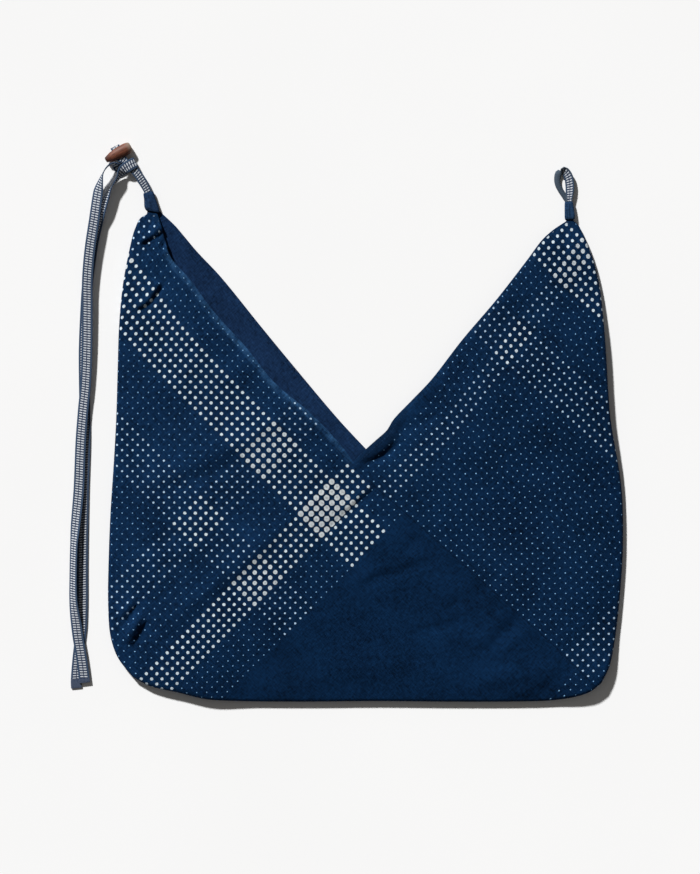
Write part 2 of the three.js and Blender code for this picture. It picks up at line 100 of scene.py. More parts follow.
def grid_sheet(name, columns, rows):
    """A flat grid of cells from the menu's grid, with each vertex's column and row."""
    deselect_all()
    bpy.ops.mesh.primitive_grid_add(x_subdivisions=columns, y_subdivisions=rows, size=1)
    sheet = bpy.context.active_object
    sheet.name = name
    flat = np.zeros(len(sheet.data.vertices) * 3)
    sheet.data.vertices.foreach_get("co", flat)
    flat = flat.reshape(-1, 3)
    column = np.rint((flat[:, 0] + 0.5) * columns).astype(int)
    row = np.rint((flat[:, 1] + 0.5) * rows).astype(int)
    return sheet, column, row


def in_frame(points):
    """Places in metres of the frame, from millimetres of the layout."""
    return (points + FRAME_SHIFT) * MM


def place_vertices(sheet, points):
    """Moves every vertex to its place, given in millimetres of the layout."""
    sheet.data.vertices.foreach_set("co", in_frame(points).ravel())
    sheet.data.update()


def set_uv(sheet, per_vertex, name="UVMap"):
    """Writes one UV per vertex into the sheet's map, on all the corners that use it."""
    layer = sheet.data.uv_layers.get(name) or sheet.data.uv_layers.new(name=name)
    corners = np.zeros(len(sheet.data.loops), int)
    sheet.data.loops.foreach_get("vertex_index", corners)
    layer.data.foreach_set("uv", per_vertex[corners].ravel())


def finish_named(name):
    """The material of that name, which gets its nodes further down."""
    return bpy.data.materials.get(name) or bpy.data.materials.new(name)


def count_triangles(piece):
    return sum(len(face.vertices) - 2 for face in piece.data.polygons)


# %% [markdown]
# The camera looks straight down, as the one that took the picture did. It stands three metres up
# with a long lens, so a millimetre of cloth is a pixel of the picture nearly everywhere. The light
# comes from the upper left, where the picture's short hard shadows point away from, with only a
# weak glow from all round. The floor is a wide plain pale sheet, and beyond it the camera sees
# nearly the same pale tone, so views from the side have no dark horizon.

# %% Camera, floor and light
CAMERA_PLACE = (0.00395, -0.01527, 3.205)
CAMERA_LENS = 131.8
SUN_TRAVELS = (0.78, -1.235, -1.0)
SUN_STRENGTH = 5.03
SUN_ANGLE = math.radians(4.5)
GLOW_STRENGTH = 0.11
GLOW_COLOUR = (1, 0.97, 0.93, 1)
BACKDROP_COLOUR = (0.88, 0.885, 0.89, 1)
SENSOR_WIDTH = 36
FLOOR_SIZE = 12
FLOOR_HEIGHT = -0.0003

camera_data = bpy.data.cameras.new("camera")
camera_data.lens = CAMERA_LENS
camera_data.sensor_width = SENSOR_WIDTH
camera = bpy.data.objects.new("camera", camera_data)
camera.location = CAMERA_PLACE
bpy.context.scene.collection.objects.link(camera)
bpy.context.scene.camera = camera

sun_data = bpy.data.lights.new("sun", "SUN")
sun_data.energy = SUN_STRENGTH
sun_data.angle = SUN_ANGLE
sun = bpy.data.objects.new("sun", sun_data)
travel = np.array(SUN_TRAVELS) / np.linalg.norm(SUN_TRAVELS)
sun.rotation_euler = (math.acos(-travel[2]), 0, math.atan2(-travel[0], travel[1]))
bpy.context.scene.collection.objects.link(sun)

world = bpy.data.worlds.new("studio")
bpy.context.scene.world = world
world.use_nodes = True
glow = world.node_tree.nodes["Background"]
glow.inputs["Color"].default_value = GLOW_COLOUR
glow.inputs["Strength"].default_value = GLOW_STRENGTH
backdrop = world.node_tree.nodes.new("ShaderNodeBackground")
backdrop.inputs["Color"].default_value = BACKDROP_COLOUR
seen_directly = world.node_tree.nodes.new("ShaderNodeLightPath").outputs["Is Camera Ray"]
either = world.node_tree.nodes.new("ShaderNodeMixShader")
world.node_tree.links.new(seen_directly, either.inputs[0])
world.node_tree.links.new(glow.outputs[0], either.inputs[1])
world.node_tree.links.new(backdrop.outputs[0], either.inputs[2])
world.node_tree.links.new(either.outputs[0], world.node_tree.nodes["World Output"].inputs[0])
bpy.context.scene.view_settings.view_transform = "Standard"

deselect_all()
bpy.ops.mesh.primitive_plane_add(size=FLOOR_SIZE, location=(0, 0, FLOOR_HEIGHT))
floor = bpy.context.active_object
floor.name = "floor"
print("camera at", CAMERA_PLACE, "floor", FLOOR_SIZE, "m across")

# %% [markdown]
# ## The folded cloth
# The real bag is a strip about 335 mm wide. Folded, it is two layers joined along the sides and the
# bottom, and open along the V of the mouth. It could be made by a cloth simulation, but then its
# outline would drift from the real one. So instead each layer is a grid of cells between its outline
# and its mouth, with the heights of the real folds, and both become one shell.
#
# The outline comes from short tables of points in millimetres, joined by smooth curves.

# %% Outline of the folded cloth
LEFT_EDGE = [
    (-214, -254), (-229, -235), (-236.5, -214), (-239, -182), (-238.5, -137), (-236.5, -87),
    (-233.5, -42), (-231, 3), (-229.5, 53), (-228, 98), (-224.4, 137), (-218, 172), (-212, 195),
    (-206.4, 205.5), (-200.5, 209), (-199.7, 213), (-199.7, 219),
]
BOTTOM_EDGE = [
    (-214, -254), (-197, -263), (-169, -269.5), (-142, -276), (-112, -278), (-47, -278.8),
    (28, -278.2), (103, -278.8), (173, -278.6), (203, -277.6), (228, -273.8), (243, -268.5),
    (254, -260),
]
RIGHT_EDGE = [
    (254, -260), (262, -244), (266.5, -225), (270, -202), (273.5, -167), (276, -127), (275.5, -77),
    (272.5, -49), (268, -24), (263.5, 3), (261, 33), (259, 68), (256.5, 103), (253, 135), (247, 161),
    (239, 183), (231.2, 198.5), (227, 202.4), (226.5, 206), (226.5, 210),
]
FRONT_MOUTH_LEFT = [
    (-192.4, 219), (-190.2, 211), (-185.5, 197), (-181.5, 180), (-175, 164), (-157, 143.5),
    (-132, 110), (-102, 77), (-71, 39), (-36.5, 10), (-2, -27), (6, -39),
]
FRONT_MOUTH_RIGHT = [
    (6, -39), (19, -26), (29, -17), (40, -7), (46, 3), (65, 23), (84, 43), (115, 83), (149, 123),
    (180, 163), (195, 183), (206, 193), (215.4, 199.4), (219.5, 202.4), (219.9, 206), (219.9, 210),
]
BACK_MOUTH_LEFT = [
    (-192.4, 219), (-189.4, 214.6), (-186, 210.6), (-179.5, 204.6), (-171.8, 197.2), (-150.5, 172),
    (-127, 147), (-84.4, 94.5), (-56, 60), (-8, 3), (19, -26), (32, -40),
]
BACK_MOUTH_RIGHT = [
    (32, -40), (40, -27), (74.5, 10), (109, 39), (140, 77), (170, 110), (195, 143.5), (211, 165),
    (218.5, 183), (221, 198), (219.9, 210),
]


CURVE_STEPS = 40
SMALLEST_GAP = 1e-4


def smooth_points(rows, steps=CURVE_STEPS):
    """Points on the smooth curve through some rows, with the same number of steps in each span."""
    rows = np.array(rows, float)
    ends = (2 * rows[:1] - rows[1:2], 2 * rows[-1:] - rows[-2:-1])
    knots = np.vstack([ends[0], rows, ends[1]])
    gaps = np.sqrt(np.linalg.norm(np.diff(knots, axis=0), axis=1))[:, None]
    before, start, end, after = knots[:-3], knots[1:-2], knots[2:-1], knots[3:]
    b = np.where(gaps[1:-1] < SMALLEST_GAP, 1, gaps[1:-1])
    a = np.where(gaps[:-2] < SMALLEST_GAP, b, gaps[:-2])
    c = np.where(gaps[2:] < SMALLEST_GAP, b, gaps[2:])
    leave = b * ((start - before) / a - (end - before) / (a + b) + (end - start) / b)
    reach = b * ((end - start) / b - (after - start) / (b + c) + (after - end) / c)
    t = (np.arange(steps) / steps)[None, :, None]
    start, end, leave, reach = (value[:, None, :] for value in (start, end, leave, reach))
    bend = 3 * (end - start) - 2 * leave - reach
    twist = 2 * (start - end) + leave + reach
    points = (start + leave * t + bend * t**2 + twist * t**3).reshape(-1, rows.shape[1])
    return np.vstack([points, rows[-1:]])


def path_lengths(points):
    steps = np.linalg.norm(np.diff(points, axis=0), axis=1)
    return np.concatenate([[0], np.cumsum(steps)])


def read_at(places, along, rows):
    """The rows' values at some places, between the rows' own places along."""
    return np.stack([np.interp(places, along, values) for values in rows.T], axis=1)


def points_at(points, lengths):
    return read_at(lengths, path_lengths(points), points)


left_curve = smooth_points(LEFT_EDGE)
right_curve = smooth_points(RIGHT_EDGE)
bottom_curve = smooth_points(BOTTOM_EDGE)
print("edges:", [round(path_lengths(c)[-1]) for c in (left_curve, bottom_curve, right_curve)])

# %% [markdown]
# Each layer is made as a left and a right half that meet in a line from the bottom to the tip of
# the V, like the two legs of a pair of trousers. The rows of a half run from its folded side to
# that line and then to the mouth, so its columns follow the mouth's edge. Grid lines lie close
# together at the folded edge, because the cloth turns round there in a half circle with a radius of
# 3.8 mm, and in the horns with their narrow creases.

# %% Grid lines of each half
EDGE_STEPS = [0, 0.35, 0.8, 1.4, 2.2, 3.2, 4.4]
MOUTH_STEPS = [7.6, 5.2, 3.2, 1.5, 0]
NARROW_WIDTH = 24
CELLS_ACROSS = 56
EVENNESS = 0.4
ROWS_LOW = 44
ROWS_SLIT = 24
SLIT_LENGTH = 62
ROWS_MIDDLE = 36
ROWS_HORN = 64
HORN_SHARE = 0.53
NECK_ROWS = [14, 12, 10, 8, 6, 4, 2, 0]
TIP_HEIGHT = -39.5
BOTTOM_MIDDLE = 18
BOTTOM_POINTS = 300
BULGE_FADE = 4


def row_steps(tip, length):
    """Where the rows cross a line from the bottom to the neck that passes the V's tip."""
    top = length - NECK_ROWS[0]
    middle = tip + (top - tip) * HORN_SHARE
    stops = [EDGE_STEPS[-1], tip - SLIT_LENGTH, tip, middle, top]
    spans = zip(stops[:-1], stops[1:], (ROWS_LOW, ROWS_SLIT, ROWS_MIDDLE, ROWS_HORN))
    parts = [np.linspace(start, end, rows + 1)[1:] for start, end, rows in spans]
    return np.concatenate([EDGE_STEPS, *parts, [length - row for row in NECK_ROWS[1:]]])


def column_shares(widths):
    """Places of the columns as shares of each row's width, counted from the folded side."""
    scale = np.minimum(1, widths / NARROW_WIDTH)
    near = np.outer(scale, EDGE_STEPS)
    far = widths[:, None] - np.outer(scale, MOUTH_STEPS)
    share = np.linspace(0, 1, CELLS_ACROSS + 1)[1:-1]
    share = share - EVENNESS * np.sin(2 * math.pi * share) / (2 * math.pi)
    between = near[:, -1:] + (far[:, :1] - near[:, -1:]) * share
    return np.hstack([near, between, far]) / widths[:, None]


def half_points(side, bottom, mouth):
    """The places of one half's vertices, row by row, each from the folded side inwards."""
    outer_tip = np.interp(TIP_HEIGHT, side[:, 1], path_lengths(side))
    outer_steps = row_steps(outer_tip, path_lengths(side)[-1])
    inner_line = np.vstack([bottom[-1:], mouth])
    inner_along = path_lengths(inner_line)
    outer = points_at(side, outer_steps)
    inner = points_at(inner_line, row_steps(inner_along[1], inner_along[-1]))
    shares = column_shares(np.linalg.norm(inner - outer, axis=1))[:, :, None]
    across = outer[:, None] + (inner - outer)[:, None] * shares
    low_row = points_at(bottom, shares[0, :, 0] * path_lengths(bottom)[-1])
    fade = (1 - outer_steps / outer_steps[-1]) ** BULGE_FADE
    return across + (low_row - across[0]) * fade[:, None, None]


bottom_along = path_lengths(bottom_curve)
middle_along = np.interp(BOTTOM_MIDDLE, bottom_curve[:, 0], bottom_along)
bottom_left = points_at(bottom_curve, np.linspace(0, middle_along, BOTTOM_POINTS))
bottom_right = points_at(bottom_curve, np.linspace(bottom_along[-1], middle_along, BOTTOM_POINTS))
front_halves, back_halves = (
    (
        half_points(left_curve, bottom_left, smooth_points(left_mouth[::-1])),
        half_points(right_curve, bottom_right, smooth_points(right_mouth)),
    )
    for left_mouth, right_mouth in (
        (FRONT_MOUTH_LEFT, FRONT_MOUTH_RIGHT), (BACK_MOUTH_LEFT, BACK_MOUTH_RIGHT),
    )
)
print("vertices of a half, rows by columns:", front_halves[0].shape[:2])

# %% [markdown]
# The folds are tables too. Each row is a line on the cloth, the half width of the ridge or trough
# along it, and its height, negative for a trough. The wide ones are nearly those of the solid. The
# narrow ones are only here: pleats in the gathered horns and small wrinkles. Step folds are tucks
# that throw a hard shadow: two in the left horn, the slit beside the seam, the hem at the tip of
# the V, the puckers in the low left corner, two creases of the plain cloth and one in the low right
# corner. They rise on the left of their line and drop at it. Their rows hold the height, how far
# the rise and the drop reach, how far the fold fades in and out along its line, and the line. A
# row of LIFTS raises both layers round a place: x, y, flat radius, outer radius, height, and the
# share of the thickness that is left there.

# %% Folds of the cloth
FOLD_RADIUS = 3.8
CROWN = 4.6
CROWN_REACH = 35
MOUTH_DROOP = 2.4
MOUTH_DROOP_REACH = 24
HEM_RIDGE = 0.7
HEM_WIDTH = 8
EDGE_ROLL = 0.9
EDGE_ROLL_WIDTH = 3.5
ROLL_RIGHT_SHARE = 0.2
ROLL_CHANGE = (-10, 20)
FOLD_END_SHARE = 0.35
FOLD_FADE = 20
NARROW_FADE = 6
WIDE_FOLDS = [
    (30, -68, -20, -108, 7, -1.8), (-50, -92, -186, -208, 9, 1.8), (-52, -112, -182, -218, 8, -1.3),
    (-192, -58, -62, 6, 10, 1.5), (-190, -70, -100, -36, 8, -1.6), (-218, -128, -150, -110, 8, -1.6),
    (-230, -204, -210, -176, 6, -1.5), (-226, -222, -206, -186, 6, 1.3),
    (-218, -226, -200, -190, 6, -1.6), (-208, 176, -184, 193, 6, -1.6), (-204, 152, -172, 178, 9, 1.2),
    (-216, 110, -186, 140, 7, -1.4), (12, -38, 48, -16, 10, -1.7), (55, -8, 92, 6, 8, -1.0),
    (14, -160, 70, -136, 8, -1.2), (140, -222, 174, -190, 9, -1.6), (-70, -268, 18, -244, 12, 1.0),
    (126, -264, 208, -240, 10, 1.6), (178, -276, 216, -250, 7, -2.4), (30, -66, 232, -268, 7, -0.7),
    (-150, -150, -70, -108, 11, 1.2), (-214, 20, -140, 60, 12, 0.9), (-220, -20, -130, 24, 11, -0.9),
]
NARROW_FOLDS = [
    (30, -62, 10, -80, 2.4, -1.2), (-181, 191, -194, 184, 3.0, -1.4),
    (-183.2, 183, -184.4, 173, 2.2, -4.6), (-183, 139, -197, 119, 3.0, -1.2),
    (-195, 212, -199.5, 186, 2.4, -1.5), (-191.5, 207, -189.5, 192, 2.0, 0.9),
    (-195.6, 213, -196.6, 205, 1.7, -2.2), (-200, 204, -207, 176, 2.2, 0.7),
    (226, 198, 239, 158, 2.8, -1.3), (223, 197, 229, 156, 2.6, 1.0), (219, 196, 217, 164, 2.6, -1.1),
    (214, 193, 204, 168, 3, 0.7), (224.5, 203, 226, 184, 1.7, -1.4),
    (-222, -204, -210, -184, 3.0, -1.5), (-212, -222, -198, -198, 3.2, -1.6),
    (-222, -216, -206, -188, 3.2, 1.2), (-194, -230, -166, -246, 2.4, 1.5),
    (-188, -236, -164, -250, 2.4, -1.5), (-182, -222, -156, -234, 2.4, 1.0),
    (-200, -216, -184, -196, 3.4, -1.1), (-55, -77, -19, -57, 6, -1.1), (6, -40, 24, -37.5, 1.8, -1.4),
    (22, -38, 40, -31, 2.6, -2.0), (30, -34, 47, -25, 5.5, -2.6), (46, -24, 55, 2, 4.0, -0.9),
    (55, -8, 92, 6, 3.4, -0.8),
    (56, -129, 73, -112, 3.0, -1.9), (15, -160, 48, -147, 3.0, -2.2), (48, -147, 84, -137, 3.2, -1.7),
    (143, -217, 172, -193, 3.8, -2.4), (152, -228, 184, -204, 5, 1.4), (96, -190, 120, -172, 5, -1.5),
    (60, -214, 120, -196, 5, -1.3), (128, -176, 150, -152, 4, -1.4),
    (250, -264, 266, -216, 5, -0.9), (180, -276, 208, -257, 3.2, -1.9), (214, -272, 250, -262, 3.4, -1.2),
    (-40, -150, -96, -196, 5, -0.8), (150, 60, 196, 96, 7, -0.6), (166, -20, 220, 24, 8, 0.6),
    (96, -60, 150, -30, 7, -0.5), (-120, 62, -90, 92, 6, -0.7), (-170, 40, -140, 84, 7, 0.6),
    (-80, -240, -20, -222, 6, -0.6), (-196, -150, -150, -134, 5, -0.9), (-120, -26, -70, 0, 5, 0.7),
]
STEP_FOLDS = [
    (4.0, 7, 1.4, 7, 2, [(-208, 179), (-192, 189), (-182.5, 196)]),
    (3.4, 8, 1.5, 5, 4, [(-212, 114), (-201, 120), (-193, 129.3), (-186, 141.5)]),
    (1.3, 6, 0.9, 26, 1.5, [(-15, -104), (7, -79.5), (25.5, -63.7)]),
    (3.0, 12, 4.2, 6, 16, [(4, -41), (20, -35), (35, -27), (45, -15), (49, -2)]),
    (3.6, 6, 2.0, 6, 6, [(-226, -197), (-218, -186), (-209, -174)]),
    (3.8, 6, 2.0, 6, 6, [(-218.5, -222), (-211.6, -207.8), (-201, -191)]),
    (1.8, 9, 2.5, 12, 12, [(8, -163), (30, -152), (52, -145), (84, -135)]),
    (2.4, 10, 3.0, 12, 12, [(130, -228), (146, -214), (172, -192)]),
    (2.6, 14, 4.0, 8, 12, [(160, -279), (184, -271.5), (198, -262), (218, -256)]),
]
LIFTS = [
    (-196, 214, 10, 38, 0.5, 0.5), (223, 208, 10, 38, 0.5, 0.5), (262, -266, 6, 64, 5.5, 1),
    (-232, -258, 6, 46, 2.0, 1), (-160, -272, 14, 74, 2.6, 1), (268, 34, 34, 118, 4.2, 1),
]
RIPPLES = 9
RIPPLE_PITCHES = (26, 70)
RIPPLE_PHASES = (0, 6)
RIPPLE_HEIGHT = 0.09
STEP_LINE_STEPS = 6
PATH_STEPS = 8


def smooth_share(value):
    t = np.clip(value, 0, 1)
    return t * t * (3 - 2 * t)


def distance_to_segment(points, x0, y0, x1, y1):
    way = np.array([x1 - x0, y1 - y0])
    start = points[:, :2] - (x0, y0)
    share = np.clip(start @ way / (way @ way), 0, 1)
    return share, np.linalg.norm(start - share[:, None] * way, axis=1)


def nearest_on_path(points, path):
    """Each point's distance from the path, signed plus on its left, and its place along it."""
    along = path_lengths(path)
    nearest = np.full(len(points), np.inf)
    signed, place = np.zeros(len(points)), np.zeros(len(points))
    for i, way in enumerate(np.diff(path, axis=0)):
        share, distance = distance_to_segment(points, *path[i], *path[i + 1])
        side = way[0] * (points[:, 1] - path[i, 1]) - way[1] * (points[:, 0] - path[i, 0])
        closer = distance < nearest
        nearest[closer] = distance[closer]
        signed[closer] = np.copysign(distance, side)[closer]
        place[closer] = (along[i] + share * (along[i + 1] - along[i]))[closer]
    return signed, place


def distance_to_path(points, path):
    return np.abs(nearest_on_path(points, path)[0])


def fold_height(points, folds):
    height = np.zeros(len(points))
    for x0, y0, x1, y1, half, rise in folds:
        share, distance = distance_to_segment(points, x0, y0, x1, y1)
        end_fade = FOLD_END_SHARE + (1 - FOLD_END_SHARE) * np.sin(np.pi * share)
        height += rise * end_fade * np.exp(-((distance / half) ** 2))
    return height


def step_height(points):
    """Tucks: the cloth rises slowly towards the line and drops at once beyond it."""
    height = np.zeros(len(points))
    for rise, reach, drop, fade_in, fade_out, line in STEP_FOLDS:
        line = smooth_points(line, STEP_LINE_STEPS)
        signed, place = nearest_on_path(points, line)
        left = path_lengths(line)[-1] - place
        fade = smooth_share(place / fade_in) * smooth_share(left / fade_out)
        height += rise * fade * np.exp(-((signed / np.where(signed > 0, reach, drop)) ** 2))
    return height


def ripple_height(points):
    """A very low swell of the whole cloth, from a few waves in directions drawn from one seed."""
    chance = np.random.default_rng(SEED)
    height = np.zeros(len(points))
    for _ in range(RIPPLES):
        turn = chance.uniform(0, math.pi)
        pitch = chance.uniform(*RIPPLE_PITCHES)
        phase = chance.uniform(*RIPPLE_PHASES)
        along = points[:, 0] * math.cos(turn) + points[:, 1] * math.sin(turn)
        height += RIPPLE_HEIGHT * np.sin(2 * math.pi * along / pitch + phase)
    return height


def settled(points, thickness):
    """Heights with the lifts added, where the cloth stands clear of the floor or is pressed flat."""
    lift = np.zeros(len(points))
    press = np.ones(len(points))
    for x, y, flat, reach, height, pressed in LIFTS:
        distance = np.hypot(points[:, 0] - x, points[:, 1] - y)
        share = 1 - smooth_share((distance - flat) / (reach - flat))
        lift += height * share
        press *= 1 + (pressed - 1) * share
    return lift + press * thickness


edge_path = np.vstack([
    left_curve[::-PATH_STEPS], bottom_curve[PATH_STEPS::PATH_STEPS], right_curve[PATH_STEPS::PATH_STEPS]
])
mouth_path, back_path = (
    np.vstack([smooth_points(left, PATH_STEPS), smooth_points(right, PATH_STEPS)[1:]])
    for left, right in ((FRONT_MOUTH_LEFT, FRONT_MOUTH_RIGHT), (BACK_MOUTH_LEFT, BACK_MOUTH_RIGHT))
)


def arch(points):
    """Distance from the folded edge, and how far the cloth has turned up from its middle height."""
    inward = distance_to_path(points, edge_path)
    rest = np.maximum(FOLD_RADIUS - inward, 0)
    return inward, np.sqrt(FOLD_RADIUS**2 - rest**2)


def front_height(points):
    inward, rise = arch(points)
    past = np.maximum(inward - FOLD_RADIUS, 0)
    crown = CROWN * (1 - np.exp(-past / CROWN_REACH))
    from_mouth = distance_to_path(points, mouth_path)
    droop = MOUTH_DROOP * np.exp(-from_mouth / MOUTH_DROOP_REACH) * crown / CROWN
    hem = HEM_RIDGE * np.exp(-(((from_mouth - HEM_WIDTH) / HEM_WIDTH) ** 2))
    rolled = EDGE_ROLL * np.exp(-((from_mouth / EDGE_ROLL_WIDTH) ** 2))
    past_tip = smooth_share((points[:, 0] - ROLL_CHANGE[0]) / ROLL_CHANGE[1])
    rolled *= 1 - (1 - ROLL_RIGHT_SHARE) * past_tip
    relief = fold_height(points, WIDE_FOLDS) + hem - rolled + ripple_height(points)
    relief = relief * smooth_share(past / FOLD_FADE)
    relief += (fold_height(points, NARROW_FOLDS) + step_height(points)) * smooth_share(past / NARROW_FADE)
    return settled(points, FOLD_RADIUS + rise + crown - droop + relief)


def back_height(points):
    return settled(points, FOLD_RADIUS - arch(points)[1])


# %% [markdown]
# The four halves are placed, those of the back are turned over, and all are joined and merged along
# the middle, the sides and the bottom. Then the Solidify modifier gives the shell its thickness,
# inwards. Its inner side gets the second material, because a printed cotton is plain on its wrong
# side.
#
# The dots of the print sit on a grid of 7.4 mm that follows the strip, which runs at 45 degrees. So
# the UV map counts grid cells along both diagonals. Near the horns and in the low corners the cloth
# is pulled together, and the map is bent there in the same way. The pulls are given where they lie
# in the picture. At the folded edge the map is unrolled, so the dots keep their size as they turn
# round it. A second map, HemMap, holds each point's distance from the mouth's edge and its place
# along that edge, counted from the tip of the V, both in millimetres, for the hem.

# %% Cloth bag
CLOTH = 1.2
HALVES_MERGE_DISTANCE = 1e-5
PITCH = 7.4
PICTURE_LEFT = 347
PICTURE_TOP = 423
BACK_MIRROR = 732
GRID_START = (604.6, -106)
GRID_START_CELL = (82.5, 60.5)
LEFT_HORN = (154, 204, 90)
LEFT_HORN_PULL = 14
TUCK = (138, 252, 70)
TUCK_PULL = 6
RIGHT_HORN_START = 15
RIGHT_HORN_SLANT = 0.135
LOW_LEFT_START = 100
LOW_LEFT_REACH = 244
LOW_LEFT_MIDDLE = 585
LOW_LEFT_HALF = 45
LOW_LEFT_PULL = 4.9
LOW_RIGHT_START = 600
LOW_RIGHT_REACH = 250
LOW_RIGHT_EDGE = -130
LOW_RIGHT_FADE = 45
LOW_RIGHT_PULL = 14.3


def nearness(x, y, place):
    """1 at a place of the picture, falling away over its reach."""
    return np.exp(-((np.hypot(x - place[0], y - place[1]) / place[2]) ** 2))


def print_cells(points, mirrored):
    """Grid cells of the print at each point: along the one diagonal, then along the other."""
    x = points[:, 0] + PICTURE_LEFT
    y = PICTURE_TOP - points[:, 1]
    if mirrored:
        x = BACK_MIRROR - x
    p = (x + y) / math.sqrt(2)
    q = (x - y) / math.sqrt(2)
    under_tuck = TUCK_PULL * nearness(x, y, TUCK)
    up_right_horn = RIGHT_HORN_SLANT * np.maximum(q - RIGHT_HORN_START, 0)
    down_left = LOW_LEFT_PULL * np.clip((-q - LOW_LEFT_START) / LOW_LEFT_REACH, 0, 1)
    down_left *= np.exp(-(((p - LOW_LEFT_MIDDLE) / LOW_LEFT_HALF) ** 2))
    down_right = LOW_RIGHT_PULL * np.clip((p - LOW_RIGHT_START) / LOW_RIGHT_REACH, 0, 1)
    down_right *= smooth_share((q - LOW_RIGHT_EDGE) / LOW_RIGHT_FADE)
    q = q - LEFT_HORN_PULL * nearness(x, y, LEFT_HORN) - under_tuck - down_right
    p = p + up_right_horn - under_tuck - down_left
    from_start = np.stack([p - GRID_START[0], q - GRID_START[1]], axis=1)
    return from_start / PITCH + GRID_START_CELL


def hem_places(points, path):
    """Distance from the mouth's edge, and place along it, counted from the tip of the V."""
    tip = path_lengths(path)[np.argmin(path[:, 1])]
    signed, place = nearest_on_path(points, path)
    return np.stack([np.abs(signed), place - tip], axis=1)


def unrolled(points):
    """Places on the flat cloth, whose half circle at the folded edge is longer than it looks."""
    inward, place = nearest_on_path(points, edge_path)
    ahead = read_at(place, path_lengths(edge_path), np.gradient(edge_path, axis=0))
    ahead /= np.linalg.norm(ahead, axis=1)[:, None]
    depth = np.clip(np.abs(inward), 0, FOLD_RADIUS)
    arc = FOLD_RADIUS * np.arccos(1 - depth / FOLD_RADIUS)
    outwards = FOLD_RADIUS * (math.pi / 2 - 1) - (arc - depth)
    return points + np.column_stack([ahead[:, 1], -ahead[:, 0]]) * outwards[:, None]


def create_half(name, points, height, mirrored, hem_path, columns_inward):
    rows, columns = points.shape[0] - 1, points.shape[1] - 1
    half, column, row = grid_sheet(name, columns, rows)
    inward = column if columns_inward else columns - column
    flat = points[row, inward]
    heights = height(flat)
    folded = (row == 0) | (inward == 0)
    heights[folded] = settled(flat[folded], FOLD_RADIUS)
    place_vertices(half, np.column_stack([flat, heights]))
    set_uv(half, print_cells(unrolled(flat), mirrored))
    set_uv(half, hem_places(flat, hem_path), "HemMap")
    return half


def create_cloth_bag():
    front = create_half("cloth_bag", front_halves[0], front_height, False, mouth_path, True)
    right = create_half("front_right", front_halves[1], front_height, False, mouth_path, False)
    backs = [
        create_half("back_left", back_halves[0], back_height, True, back_path, True),
        create_half("back_right", back_halves[1], back_height, True, back_path, False),
    ]
    for back in backs:
        edit_whole(back, (bpy.ops.mesh.flip_normals, {}))
    make_active(front)
    for other in (right, *backs):
        other.select_set(True)
    bpy.ops.object.join()
    edit_whole(front, (bpy.ops.mesh.remove_doubles, {"threshold": HALVES_MERGE_DISTANCE}))
    print("halves merged:", len(front.data.vertices), "vertices")
    return front


cloth_bag = create_cloth_bag()
cloth_bag.data.materials.append(finish_named("dotted_cloth"))
cloth_bag.data.materials.append(finish_named("cloth_inside"))
apply_modifier(
    cloth_bag, "SOLIDIFY", thickness=CLOTH * MM, offset=-1, use_even_offset=False,
    material_offset=1, material_offset_rim=1,
)
bpy.ops.object.shade_smooth()
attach(cloth_bag, "root")
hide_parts("bag_body")
print("cloth_bag:", count_triangles(cloth_bag), "triangles")

# %% [markdown]
# ## The tapes
# Three pieces of the same woven tape are sewn on: a doubled short one that carries the toggle, a
# loop for it, and a long strap that is hitched round the short one. Each follows a route, a table
# of centre, direction across and share of the full width, seven columns in all, because a tape
# twists and is pinched where it goes into a sleeve. A grid is laid along the route and thickened.
# The soft loop also rolls in along its length, so its grid is bowed, and its plain wrong side shows.

